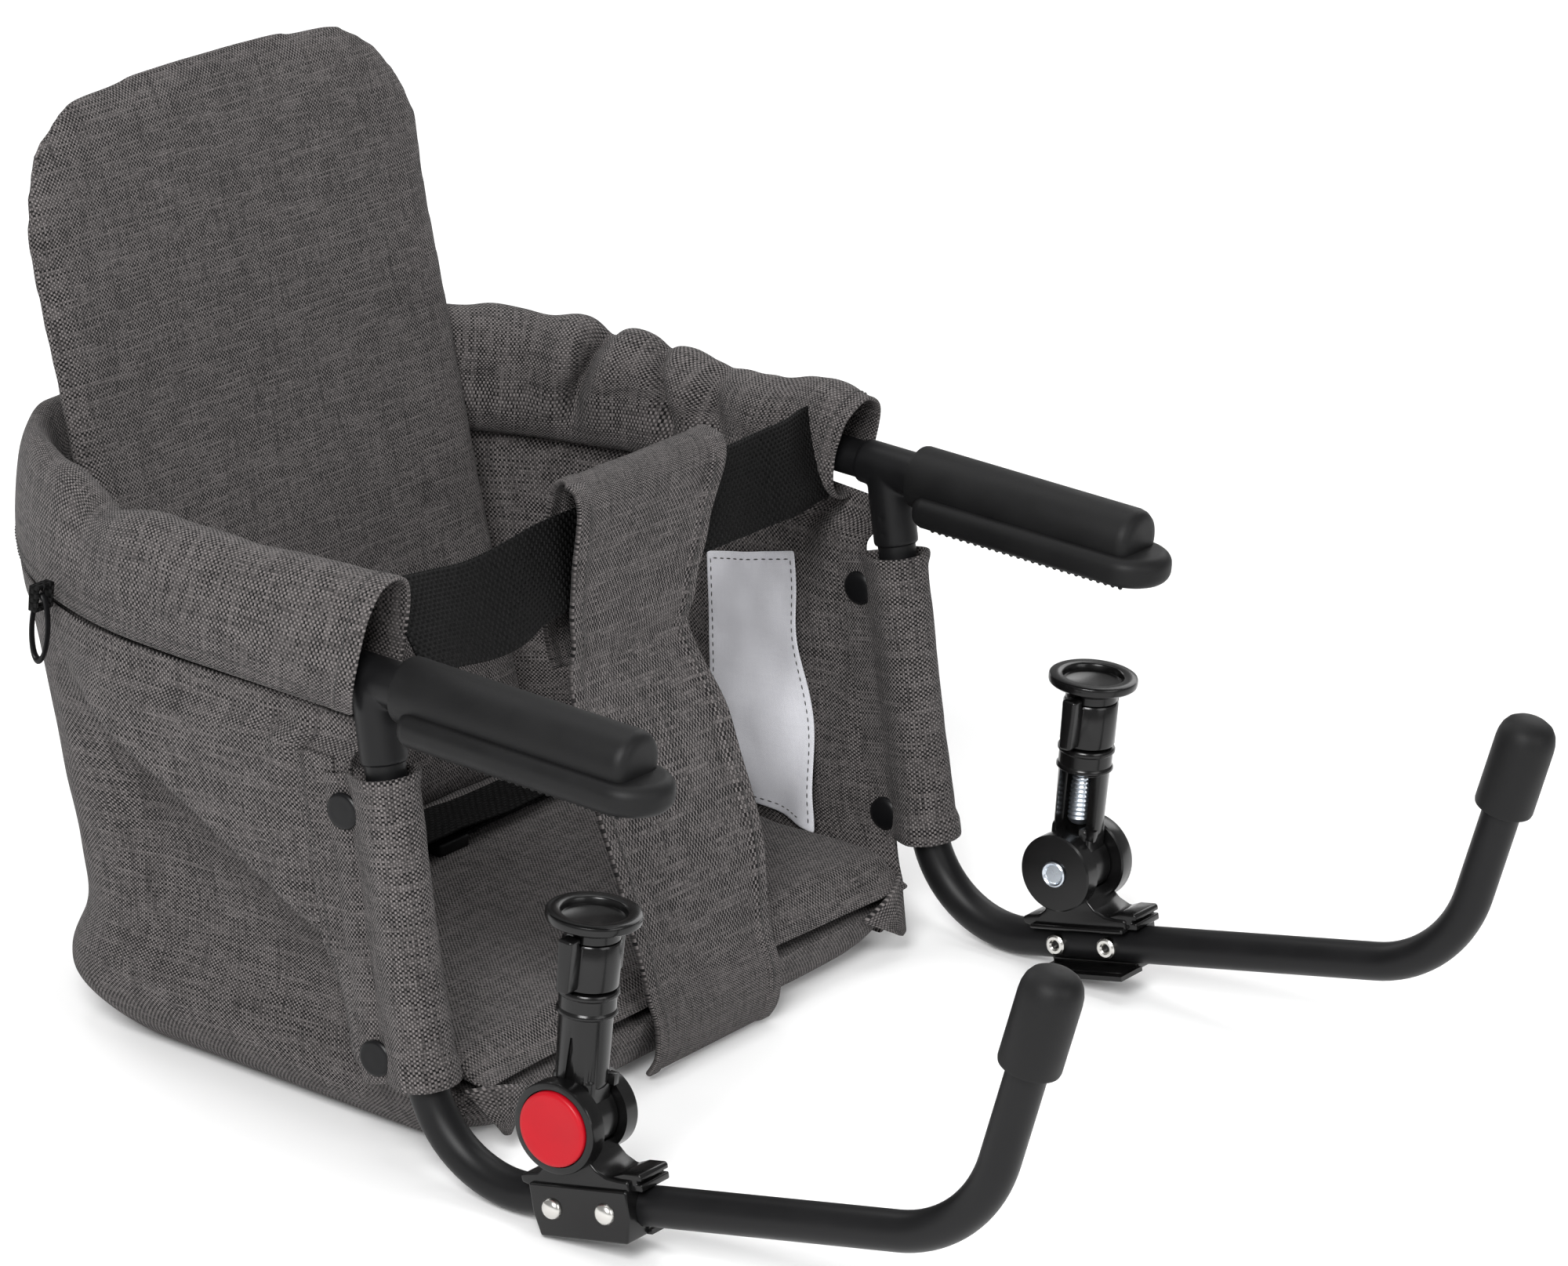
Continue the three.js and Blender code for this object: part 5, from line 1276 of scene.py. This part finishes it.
@dataclass
class Hems:
    """The loose cloth hood that wraps the rail, with a free outer edge and open mouths, in millimetres."""

    tubes: TubeFrame
    rear_half: float = 50.0
    start: float = 121.3

    def length(self) -> float:
        """Length of a side hood along the rail."""
        t = self.tubes
        return (t.rail_rear - t.rail_bend - self.start + t.rail_bend * math.pi / 2 + t.half_spacing
                - t.rail_bend - self.rear_half)

    def path(self, side: int, run: float) -> tuple[Vector, Vector]:
        """A place on the rail and the way outwards.

        Args:
            side: -1 for left, 1 for right.
            run: Millimetres behind the tee; negative lies over the tee.

        Returns:
            The place in millimetres and the outward direction.
        """
        t = self.tubes
        straight = t.rail_rear - t.rail_bend - self.start
        arc = t.rail_bend * math.pi / 2
        if run < straight:
            return Vector((side * t.half_spacing, self.start + run, t.arm_z)), Vector((side, 0, 0))
        if run < straight + arc:
            angle = (run - straight) / t.rail_bend
            out = Vector((side * math.cos(angle), math.sin(angle), 0))
            centre = Vector((side * (t.half_spacing - t.rail_bend), t.rail_rear - t.rail_bend, t.arm_z))
            return centre + out * t.rail_bend, out
        x = t.half_spacing - t.rail_bend - (run - straight - arc)
        return Vector((side * x, t.rail_rear, t.arm_z)), Vector((0, 1, 0))

    def section(self, u: float, top: float, low: float) -> tuple[float, float]:
        """Across and up on the hood's section, from the outer edge over the top and in under the rail."""
        shape = ((11.4, -12.0), (13.2, -6), (14.4, 3), (14.6, top * 0.40), (13.2, top * 0.70),
                 (8.8, top - 2.8), (1.0, top),
                 (-7.0, top - 3.4), (-11.6, top * 0.68), (-13.4, top * 0.36), (-13.6, 3),
                 (-12.4, low * 0.5), (-8.6, low * 0.85),
                 (-2.0, low), (5.0, low + 1.5))
        p = through(shape, u)
        return p.x, p.y

    def left(self, u: float, v: float) -> Vector:
        """The left hood: tall and smooth, with a dip before the rear corner."""
        total = self.length()
        lean = -12 - 9 * hump(u, 0.43, 0.24)
        run = lean * (1 - v) ** 3 + total * v
        spot, out = self.path(-1, run)
        top = value_at(((-20, 43), (0, 41), (55, 37.5), (90, 38), (114, 35), (133, 38), (152, 41),
                        (185, 43), (225, 40), (260, 35),
                        (291, 31)), run)
        across, up = self.section(u, top, -18)
        across *= value_at(((60, 1.0), (150, 0.70), (240, 0.70), (291, 0.80)), run)
        fade = ease((up + 14) / 22) * ease((1 - v) / 0.1)
        across += (1.0 * ripple(run / 30, u * 5, 3.3) + 0.5 * ripple(run / 11, u * 11, 8.1)) * fade * (1
            - 0.6 * ease((run - 90) / 50))
        up += 1.0 * ripple(run / 24, u * 3, 6.4) * fade
        up -= 5.0 * hump(run, 124, 9) * hump(u, 0.42, 0.12)
        up -= 17 * hump(run, 205, 34) * hump(u, 0.52, 0.09)
        across -= 3.5 * hump(run, 128, 12) * hump(u, 0.3, 0.14)
        if v < 0.03:
            across *= 1.04
        p = spot + out * across
        return at(p.x, p.y, p.z + up)

    def right(self, u: float, v: float) -> Vector:
        """The right hood: low, with two deep folds and smaller gathers."""
        total = self.length()
        run = (6 - 5 * hump(u, 0.43, 0.24)) * (1 - v) ** 3 + total * v
        spot, out = self.path(1, run)
        top = value_at(((0, 27), (22, 29), (47, 23), (83, 22), (113, 25), (147, 27), (190, 30), (291, 31)),
                       run)
        drift = max(0.0, u - 0.43) / 0.3
        first, second = 131 + 9 * drift, 106 - 15 * drift
        fold = (-13.0 * hump(run, first, 4.8) + 5.5 * hump(run, first - 13, 8)
                + 5.5 * hump(run, first + 14, 9)
                - 10.0 * hump(run, second, 4.4) + 4.0 * hump(run, second - 13, 8)
                - 4.5 * hump(run, 74 - 8 * drift, 5)
                + 1.6 * math.sin(run / 6.2) * hump(run, 40, 34)
                + 2.2 * math.sin(run / 9.0) * hump(run, 185, 30))
        across, up = self.section(u, top, value_at(((0, -18), (60, -20), (140, -25), (240, -22),
                                                    (297, -18)), run))
        across *= value_at(((0, 1.06), (170, 0.95), (297, 0.80)), run)
        inner = ease((u - 0.34) / 0.14)
        fade = ease((up + 22) / 22) * ease((1 - v) / 0.1)
        across *= 1 + 0.42 * inner * hump(run, 122, 50)
        across -= fold * inner * fade * (0.6 + 0.4 * hump(u, 0.64, 0.16))
        across += (1.3 * ripple(run / 16, u * 5, 12.3) + 0.7 * ripple(run / 7, u * 9, 2.1)) * fade
        up += (0.45 * fold * hump(u, 0.45, 0.16) + 1.3 * ripple(run / 13, u * 3, 7.7)) * fade
        clear = 9.6 * math.sqrt(max(0.0, 1 - (up / 12) ** 2))
        if u > 0.45 and up > -10:
            across = min(across, -clear)
        p = spot + out * across
        return at(p.x, p.y, p.z + up)

    def rear(self, u: float, v: float) -> Vector:
        """The rear hood, between the two side hoods."""
        x = (2 * v - 1) * self.rear_half
        near = ease((self.rear_half - abs(x)) / 30)
        top = 31 + 2.0 * ripple(x / 34, 0.3, 4.4) * near
        across, up = self.section(u, top, -18)
        fade = ease((up + 14) / 22) * near
        across = across * 0.80 + 1.2 * ripple(x / 22, u * 5, 5.9) * fade
        return at(x, self.tubes.rail_rear + across, self.tubes.arm_z + up)

    def build(self) -> None:
        """Sews the three hoods."""
        for node, rows, place in (("left_hem", 108, self.left), ("right_hem", 150, self.right),
                                  ("rear_hem", 36, self.rear)):
            sheet, width, length = Cloth(50, rows, 1.8).sew(place)
            dress(sheet, f"{node}_cloth", MELANGE, "cloth", "frame", node)


@dataclass
class Sleeves:
    """The cloth sleeves round the uprights with their snaps, in millimetres."""

    tubes: TubeFrame
    foot: float = 40.0
    top_drop: float = 37.0

    def frame_of(self, side: int) -> Matrix:
        """The upright's own frame on one side: Y to the rear, Z up the tube."""
        heel = self.tubes.heel
        return (Matrix.Translation(at(side * self.tubes.half_spacing, heel.y, heel.z))
                @ Matrix.Rotation(-math.radians(self.tubes.bar_rise), 4, "X"))

    def spot(self, side: int, u: float, v: float) -> Vector:
        """A place on the sleeve, round from its outer rear edge to its inner one."""
        length = self.tubes.upright_length - self.foot - self.top_drop
        z = self.foot + length * v
        shape = ((2.6, 28), (2.8, 22), (3.4, 15.5), (7.6, 8.8), (11.2, 1), (8.8, -7.4), (0.0, -11.2),
                 (-8.8, -7.4), (-11.2, 1),
                 (-7.6, 8.8), (-3.2, 15.5), (-2.4, 22), (-2.2, 28))
        p = through(shape, u)
        band = 1.1 if v < 0.085 or v > 0.955 else 0.0
        loose = 0.06 * ripple(z / 26, u * 4, 3.1 * side) + 0.025 * ripple(z / 9, u * 9, 1.3)
        waist = 1.04 - 0.06 * math.sin(math.pi * v) + loose
        flap = ease((p.y - 12) / 6)
        x = p.x * (waist * (1 + band / 11) * (1 - flap) + flap) + math.copysign(band * 0.6, p.x) * flap
        y = p.y * (waist if p.y < 0 else 1.0) - (band if p.y < 0 else 0.0)
        if u < 0.3:
            x += 1.2 * hump(p.y, 23, 4.5) - 1.0 * hump(p.y, 17, 1.5)
        x += flap * 0.9 * ripple(z / 22, 0.2, 6.0)
        return self.frame_of(side) @ (Vector((side * x, y, z)) * MM)

    def snap(self) -> bpy.types.Object:
        """One snap: a domed cap on each face of the flap, joined by its shank."""
        snap = turned([(0.4, -5.6), (2.6, -5.55), (4.8, -5.2), (6.4, -4.6), (7.2, -3.8), (7.4, -3.0),
                       (2.0, -2.8), (2.0, 4.4),
                       (7.4, 4.6), (7.4, 5.4), (6.9, 6.1), (6.1, 6.4), (4.9, 6.3), (3.0, 6.4), (0.4, 6.5)],
                       40)
        settle(snap, Matrix.Rotation(math.radians(90), 4, "Y"))
        return shade(snap, 35)

    def build(self) -> None:
        """Sews the sleeves and sets their snaps."""
        for word, side in SIDES:
            sheet, width, length = Cloth(72, 44, 1.6).sew(lambda u, v: self.spot(side, u, v))
            dress(sheet, f"{word}_sleeve_cloth", MELANGE, "cloth", "frame", f"{word}_sleeve")
            for level, rise in (("upper", self.tubes.upright_length - 52), ("lower", 51.0)):
                snap = self.snap()
                if side < 0:
                    snap, right = mirrored(snap), snap
                    bpy.data.objects.remove(right)
                settle(snap, self.frame_of(side) @ Matrix.Translation((0, 0.0195, rise * MM)))
                dress(snap, f"{word}_{level}_snap", LACQUER, "snap", "frame", f"{word}_snap_{level}")


@dataclass
class Pads:
    """The padded seat and backrest, made as stuffed forms, in millimetres."""

    voxel: float = 5.0
    frames: int = 18
    back_lean: float = 17.7
    back_half: float = 127.0
    back_length: float = 324.8
    back_corner: float = 52.0
    back_thick: float = 12.0

    def stuff(self, obj: bpy.types.Object, pressure: float, cap: float) -> None:
        """Fills a closed form with air as cloth, keeps each point near its start, and smooths it.

        Args:
            obj: A closed form, a little smaller than the pad.
            pressure: Cloth pressure.
            cap: The furthest that a point may move, in millimetres.
        """
        modify(obj, "REMESH", mode="VOXEL", voxel_size=self.voxel * MM)
        rest = np.array([v.co[:] for v in obj.data.vertices])
        pick(obj)
        bpy.ops.object.modifier_add(type="CLOTH")
        cloth = obj.modifiers[-1]
        cloth.settings.use_pressure = True
        cloth.settings.uniform_pressure_force = pressure
        cloth.settings.effector_weights.gravity = 0
        cloth.settings.quality = 5
        cloth.settings.tension_stiffness = 25
        cloth.settings.compression_stiffness = 25
        cloth.settings.bending_stiffness = 0.3
        scene = bpy.context.scene
        for number in range(1, self.frames + 1):
            scene.frame_set(number)
        bpy.ops.object.modifier_apply(modifier=cloth.name)
        scene.frame_set(1)
        now = np.array([v.co[:] for v in obj.data.vertices])
        move = now - rest
        far = np.maximum(np.linalg.norm(move, axis=1, keepdims=True), 1e-9)
        now = rest + move * np.minimum(1.0, cap * MM / far)
        obj.data.vertices.foreach_set("co", now.astype(np.float32).ravel())
        modify(obj, "SMOOTH", factor=0.5, iterations=4)
        modify(obj, "SUBSURF", levels=1, render_levels=1)
        pick(obj)
        bpy.ops.object.shade_smooth()

    def back_frame(self) -> tuple[Vector, Vector, Vector]:
        """The backrest's foot, its way up and its way to the rear."""
        lean = math.radians(self.back_lean)
        up = Vector((0, math.sin(lean), math.cos(lean)))
        return at(0, 237.84, 40.5), up, Vector((0, math.cos(lean), -math.sin(lean)))

    def backrest(self) -> None:
        """The stiff padded backrest with a rounded top."""
        foot, up, rear = self.back_frame()
        length, half, corner = self.back_length, self.back_half, self.back_corner

        arc = [(half - corner + corner * math.cos(a), length - corner + corner * math.sin(a))
               for a in np.linspace(0, math.pi / 2, 14)]
        top = [(x, length) for x in np.linspace(half - corner, 0, 8)][1:]
        side = [(half, 0.0)] + arc + top
        outline = side + [(-x, rise) for x, rise in reversed(side[:-1])]
        arched = [(x, rise + 8 * (1 - (x / half) ** 2) * (rise / length) ** 4) for x, rise in outline]
        obj = prism(arched, 0.5, 11.5)
        modify(obj, "BEVEL", width=0.0035, segments=2, limit_method="ANGLE", angle_limit=math.radians(60))
        axes = Matrix((rear, Vector((-1, 0, 0)), up)).transposed().to_4x4()
        settle(obj, Matrix.Translation(foot) @ axes)
        self.stuff(obj, 4.0, 6.0)
        modify(obj, "SMOOTH", factor=0.5, iterations=30)
        self.fit_back(obj)
        box_uv(obj, Matrix.Rotation(math.radians(self.back_lean), 3, "X"))
        dress(obj, "padded_backrest", MELANGE, "cloth", "backrest_body", "backrest")

    def fit_back(self, obj: bpy.types.Object) -> None:
        """Brings the stuffed backrest to its size and draws a few soft puckers along its edge."""
        foot, up, rear = self.back_frame()
        spots = [(v.co - foot) / MM for v in obj.data.vertices]
        local = np.array([(d.x, d.dot(up), d.dot(rear)) for d in spots])
        low, high = local.min(axis=0), local.max(axis=0)
        target_low = np.array((-self.back_half, 0.0, 0.0))
        target_high = np.array((self.back_half, self.back_length + 8, self.back_thick))
        local = target_low + (local - low) / (high - low) * (target_high - target_low)
        for vertex, (x, rise, deep) in zip(obj.data.vertices, local):
            rim = ease((abs(x) - self.back_half + 30) / 26) * ease((self.back_length - 40 - rise) / 60)
            wave = 0.9 * ripple(x / 60, rise / 70, 4.0) + 0.9 * ripple(x / 26, rise / 17, 7.0) * rim
            deep += wave * ease((6 - deep) / 5) + 1.2 * ease((6 - deep) / 5) * ease((abs(x)
                - self.back_half + 9) / 5)
            vertex.co = foot + Vector((x, 0, 0)) * MM + up * (rise * MM) + rear * (deep * MM)

    def seat(self) -> None:
        """The seat pad: a flat stuffed pad with a thin sewn front edge."""
        def place(u: float, v: float) -> Vector:
            """A place on the middle of the pad."""
            x = 2 * u - 1
            y = 2 * v - 1
            round_x = 1 - 0.05 * max(0.0, y) ** 4
            round_y = 1 - 0.05 * abs(x) ** 6 * max(0.0, y)
            crown = 4.0 * (1 - x ** 4) * (1 - y ** 4)
            return at(154 * x * round_x, 159 + 99 * y * round_y, 31.5 + crown)

        obj, _, _ = Cloth(64, 44).cut(place)
        modify(obj, "SOLIDIFY", thickness=8 * MM, offset=0, use_even_offset=False)
        self.stuff(obj, 3.0, 4.0)
        for vertex in obj.data.vertices:
            x, y, z = vertex.co.x / MM, vertex.co.y / MM + MID_Y, vertex.co.z / MM
            z += (1.0 * ripple(x / 48, y / 40, 3.0) + 0.5 * ripple(x / 15, y / 15, 6.0)) * ease((z - 29) / 4)
            thin = 0.30 + 0.70 * ease((y - 67) / 13)
            sag = 3.0 * (1 - ease((y - 62) / 16)) * ease((x + 20) / 150)
            vertex.co.z = (29.4 + (z - 29.4) * thin - sag) * MM
        box_uv(obj, Matrix.Identity(3))
        dress(obj, "padded_seat", MELANGE, "cloth", "frame", "seat_pad")

    def pan(self) -> None:
        """The cloth pan under the seat, with a soft front wall."""
        def place(u: float, v: float) -> Vector:
            """A place on the pan, around it with u and along its section with v."""
            angle = 2 * math.pi * u
            c, s = math.cos(angle), math.sin(angle)
            power = 0.22
            x = math.copysign(abs(c) ** power, c)
            y = math.copysign(abs(s) ** power, s)
            bulge = math.sqrt(max(0.0, 1 - (1 - v) ** 2))
            half = 128 + 28 * bulge
            front = 78 - 15 * bulge
            back = 246 + 12 * bulge
            mid = (front + back) / 2
            z = 1.2 + 24.0 * v
            if y < -0.9:
                z += (1.2 * ripple(x * 5, 0.3, 2.2) - 3.2 * ease((x * half + 20) / 150)) * v
            return at(x * half, mid + y * (back - front) / 2, z)

        obj, _, _ = Cloth(220, 10).cut(place)
        with editing(obj):
            bpy.ops.mesh.select_all(action="SELECT")
            bpy.ops.mesh.remove_doubles(threshold=0.0002)
            bpy.ops.mesh.select_all(action="DESELECT")
            bpy.ops.mesh.select_non_manifold()
            bpy.ops.mesh.fill_holes(sides=0)
            bpy.ops.mesh.select_all(action="SELECT")
            bpy.ops.mesh.normals_make_consistent(inside=False)
        box_uv(obj, Matrix.Identity(3))
        shade(obj, 50)
        dress(obj, "seat_pan_cloth", MELANGE, "cloth", "frame", "seat_base")

    def ears(self) -> None:
        """The pointed cloth corners that hang at the front of the seat."""
        shapes = (("left", at(-157, 68, 31), at(-122, 61.5, 24), at(-139, 58, 8)),
                  ("right", at(151, 70, 31), at(112, 62, 22), at(139, 57, 9)))
        for word, high, inner, tip in shapes:
            def place(u: float, v: float) -> Vector:
                """A place on the corner, from its sewn edge to its tip."""
                edge = high.lerp(inner, u)
                bow = math.sin(math.pi * u) * (1 - v)
                return edge.lerp(tip, v * 0.94) + Vector((0, -4.5 * bow, 3.0 * bow * (1 - v))) * MM

            sheet, width, length = Cloth(16, 14, 2.4).sew(place)
            dress(sheet, f"{word}_front_corner", MELANGE, "cloth", "frame")

    def build(self) -> None:
        """Builds the pads."""
        self.pan()
        self.seat()
        self.ears()
        self.backrest()


@dataclass
class Harness:
    """The crotch panel with its loop, the waist belt, the strap with its slide, in millimetres."""

    tubes: TubeFrame
    profile: tuple[tuple[float, float], ...] = (
        (61, 3), (57, 12), (58, 26), (65, 42), (76, 79), (95, 122), (111, 163), (113, 200), (112, 228),
        (116, 238), (122, 238.5),
        (126, 228), (126.5, 200), (124, 176), (118, 160))

    def edges(self, z: float, back: bool) -> tuple[float, float]:
        """Left and right edge of the crotch panel at a height."""
        left = value_at(((6, -43), (40, -44), (79, -49), (122, -50), (165, -44), (238, -46)), z)
        right = value_at(((6, 43), (40, 44), (79, 49), (122, 49), (165, 36), (200, 48), (238, 56)), z)
        return (left + 2, right - 2) if back else (left, right)

    def front(self, u: float, v: float) -> Vector:
        """A place on the crotch panel, up its front and over into the loop."""
        p = through([(0.0, y, z) for y, z in self.profile], v)
        left, right = self.edges(p.z, v > 0.66)
        x = left + (right - left) * u
        ahead = v < 0.64
        fold = 1.2 * ripple(x / 22, p.z / 30, 4.2) * ease((p.z - 20) / 30)
        fold += (3.0 * hump(p.z, 174, 6) - 2.2 * hump(p.z - x * 0.12, 160, 5)) if ahead else 0.0
        rim = 1.2 if u < 0.085 or u > 0.915 else 0.0
        return at(x, p.y - fold * 0.8 - rim * (1 if ahead else -1), p.z)

    def panel(self) -> None:
        """Sews the crotch panel."""
        sheet, width, length = Cloth(48, 96, 2.6).sew(self.front)
        dress(sheet, "crotch_cloth", MELANGE, "cloth", "frame", "crotch_panel")

    def belt(self) -> None:
        """The waist belt, slack between the hoods and through the loop."""
        heights = ((-163, 213), (-100, 205), (-48, 206), (0, 207), (58, 207), (110, 203), (170, 198))
        depths = ((-163, 106), (-100, 111), (-48, 118.5), (0, 119.5), (58, 118.5), (110, 125), (170, 137))
        leans = ((-163, 12), (-100, 10), (-48, 4), (0, 1), (58, 4), (163, 7))

        def place(u: float, v: float) -> Vector:
            """A place on the belt, across the seat with u and up its width with v."""
            x = -163 + 330 * u
            way = 2 * v - 1
            lean = value_at(leans, x)
            tall = math.sqrt(400 - lean * lean)
            soft = 1.2 * ripple(x / 30, 0.1, 3.0) * ease((abs(x) - 50) / 40)
            return at(x, value_at(depths, x) + lean * way + soft, value_at(heights, x) + tall * way)

        sheet, width, length = Cloth(90, 16, 1.7).sew(place)
        dress(sheet, "waist_webbing", BELT_WEB, "webbing", "frame", "waist_belt")

    def strap(self) -> None:
        """The harness strap, doubled on the seat, with its slide buckle."""
        line = ((16, 216, 44.6), (45, 216, 46), (75, 216, 45.6), (96, 216, 45.8), (102, 215, 47.4),
                (96, 214, 49.2), (70, 213, 49.4),
                (40, 212, 50.2), (10, 211, 52.5), (-25, 210, 51.5), (-60, 209, 47.5))

        def place(u: float, v: float) -> Vector:
            """A place on the strap, along its line with v."""
            p = through(line, v)
            return at(p.x, p.y + 12 * (2 * u - 1), p.z + 0.8 * ripple(p.x / 20, u * 2, 2.0))

        sheet, width, length = Cloth(12, 110, 1.5).sew(place)
        dress(sheet, "harness_webbing", BELT_WEB, "webbing", "frame", "harness_strap")
        body = brick((-17, -20, -2), (17, 0, 4))
        for y0, y1 in ((-16, -12), (-8, -4)):
            combine(body, Merge.TAKE, brick((-12.3, y0, -9), (12.3, y1, 9)))
        soften(body, 0.9, 3)
        settle(body, Matrix.Rotation(math.radians(-90), 4, "Z"))
        low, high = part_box("strap_buckle")
        middle = (low + high) / 2
        settle(body, Matrix.Translation(middle - Vector((-0.010, 0, 0.001))))
        dress(body, "slide_buckle", LACQUER, "snap", "frame", "strap_buckle")

    def build(self) -> None:
        """Builds the harness."""
        self.panel()
        self.belt()
        self.strap()


@dataclass
class SmallSewn:
    """The blank label and the hanging ring with its tab, in millimetres."""

    walls: SeatWalls
    corners: tuple[tuple[float, float], ...] = ((117, 33), (173, 36), (195, 136), (152, 147))

    def sheet_spot(self, u: float, v: float) -> Vector:
        """A place on the label, along the inside of the right wall."""
        c = [Vector((0, y, z)) for y, z in self.corners]
        p = c[0].lerp(c[1], u).lerp(c[3].lerp(c[2], u), v)
        way = max(0.0, p.y - self.walls.plan(p.z)[3])
        base = self.walls.spot(1, way / self.walls.reach(p.z), max(p.z, 30))
        curl = 9 * hump(u, 0.0, 0.3) * hump(v, 0.0, 0.25) + 3.0 * hump(v, 0.72, 0.14) * (1
            - u) + 1.5 * ripple(u * 3, v * 4, 1.1)
        return Vector((base.x - (2.4 + max(0.0, curl)) * MM, base.y, p.z * MM))

    def label(self) -> None:
        """The blank white label with its stitched edge."""
        sheet, width, length = Cloth(26, 44, 0.7).sew(self.sheet_spot)
        dress(sheet, "blank_label", LABEL_WEAVE, "label", "frame", "label")
        border = [(0.05, 0.03), (0.05, 0.97), (0.95, 0.97), (0.95, 0.03), (0.05, 0.03)]
        spots = []
        for (u0, v0), (u1, v1) in zip(border, border[1:]):
            for k in range(24):
                u, v = u0 + (u1 - u0) * k / 24, v0 + (v1 - v0) * k / 24
                spots.append(self.sheet_spot(u, v) - Vector((0.0004, 0, 0)))
        dress(stitch_row(spots, 3.6, 2.2, 0.3), "label_stitches", THREAD, "cloth", "frame")

    def ring(self) -> None:
        """The oval hanging ring and the tab that holds it."""
        low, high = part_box("hanging_ring")
        pick(None)
        bpy.ops.mesh.primitive_torus_add(
            major_segments=56, minor_segments=16, major_radius=0.0134, minor_radius=0.0016,
            rotation=(0, math.radians(90), 0))
        ring = bpy.context.object
        settle(ring, Matrix.Diagonal((1, 0.30, 1, 1)))
        settle(ring, Matrix.Translation((low + high) / 2))
        shade(ring, 80)
        dress(ring, "oval_ring", LACQUER, "snap", "ring_body", "hanging_ring")
        low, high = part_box("ring_tab")
        span = (high - low) / MM
        tab = brick((-span.x / 2, -2.2, -span.z / 2), (span.x / 2, 2.2, span.z / 2))
        hole = span.x / 2 - 1.6
        combine(tab, Merge.TAKE, brick((-hole, -4, -hole), (hole, 4, hole)))
        soften(tab, 0.5, 3)
        settle(tab, Matrix.Translation((low + high) / 2))
        box_uv(tab, Matrix.Identity(3))
        dress(tab, "ring_loop", BELT_WEB, "webbing", "frame", "ring_tab")

    def build(self) -> None:
        """Builds the small sewn pieces."""
        self.label()
        self.ring()


@dataclass
class Seams:
    """Rows of stitches along the hems, bands and bindings."""

    walls: SeatWalls
    hems: Hems
    sleeves: Sleeves
    harness: Harness

    def row(self, name: str, place: Place, ends: tuple[float, float, float, float], lift: float) -> None:
        """Lays one row of stitches on a sheet.

        Args:
            name: Name of the row.
            place: The sheet's surface.
            ends: u and v where the row starts, then u and v where it ends.
            lift: Height over the sheet's middle in millimetres; below 0 on its other face.
        """
        u0, v0, u1, v1 = ends
        count = 150
        spots = [above(place, u0 + (u1 - u0) * k / count, v0 + (v1 - v0) * k / count, lift)
                 for k in range(count + 1)]
        dress(stitch_row(spots), name, THREAD, "cloth", "frame")

    def build(self) -> None:
        """Lays every row."""
        for word, side, place in (("left", -1, self.hems.left), ("right", 1, self.hems.right)):
            lift = -side * 1.05
            self.row(f"{word}_hem_row_low", place, (0.028, 0.03, 0.028, 0.99), lift)
            self.row(f"{word}_hem_row_high", place, (0.075, 0.03, 0.075, 0.99), lift)
            self.row(f"{word}_mouth_row", place, (0.03, 0.024, 0.93, 0.024), lift)
            strip = partial(self.walls.strip, side)
            self.row(f"{word}_strip_row", strip, (0.82, 0.02, 0.82, 0.98), side * 0.95)
            sleeve = partial(self.sleeves.spot, side)
            for label, ends in (("foot", (0.02, 0.07, 0.62, 0.07)), ("top", (0.02, 0.965, 0.62, 0.965)),
                                ("flap", (0.03, 0.03, 0.03, 0.97))):
                self.row(f"{word}_sleeve_{label}_row", sleeve, ends, side * 0.95)
        for label, u in (("left", 0.07), ("right", 0.93)):
            self.row(f"crotch_{label}_row", self.harness.front, (u, 0.1, u, 0.6), 1.5)


def main() -> None:
    """Builds the studio and every sub-assembly in order."""
    logging.basicConfig(level=logging.INFO, format="%(name)s: %(message)s")
    Studio().build()
    tubes = TubeFrame()
    tubes.build()
    Clamp(tubes).build()
    walls = SeatWalls(tubes)
    walls.build()
    hems = Hems(tubes)
    hems.build()
    sleeves = Sleeves(tubes)
    sleeves.build()
    Pads().build()
    harness = Harness(tubes)
    harness.build()
    SmallSewn(walls).build()
    Seams(walls, hems, sleeves, harness).build()


if __name__ == "__main__":
    main()
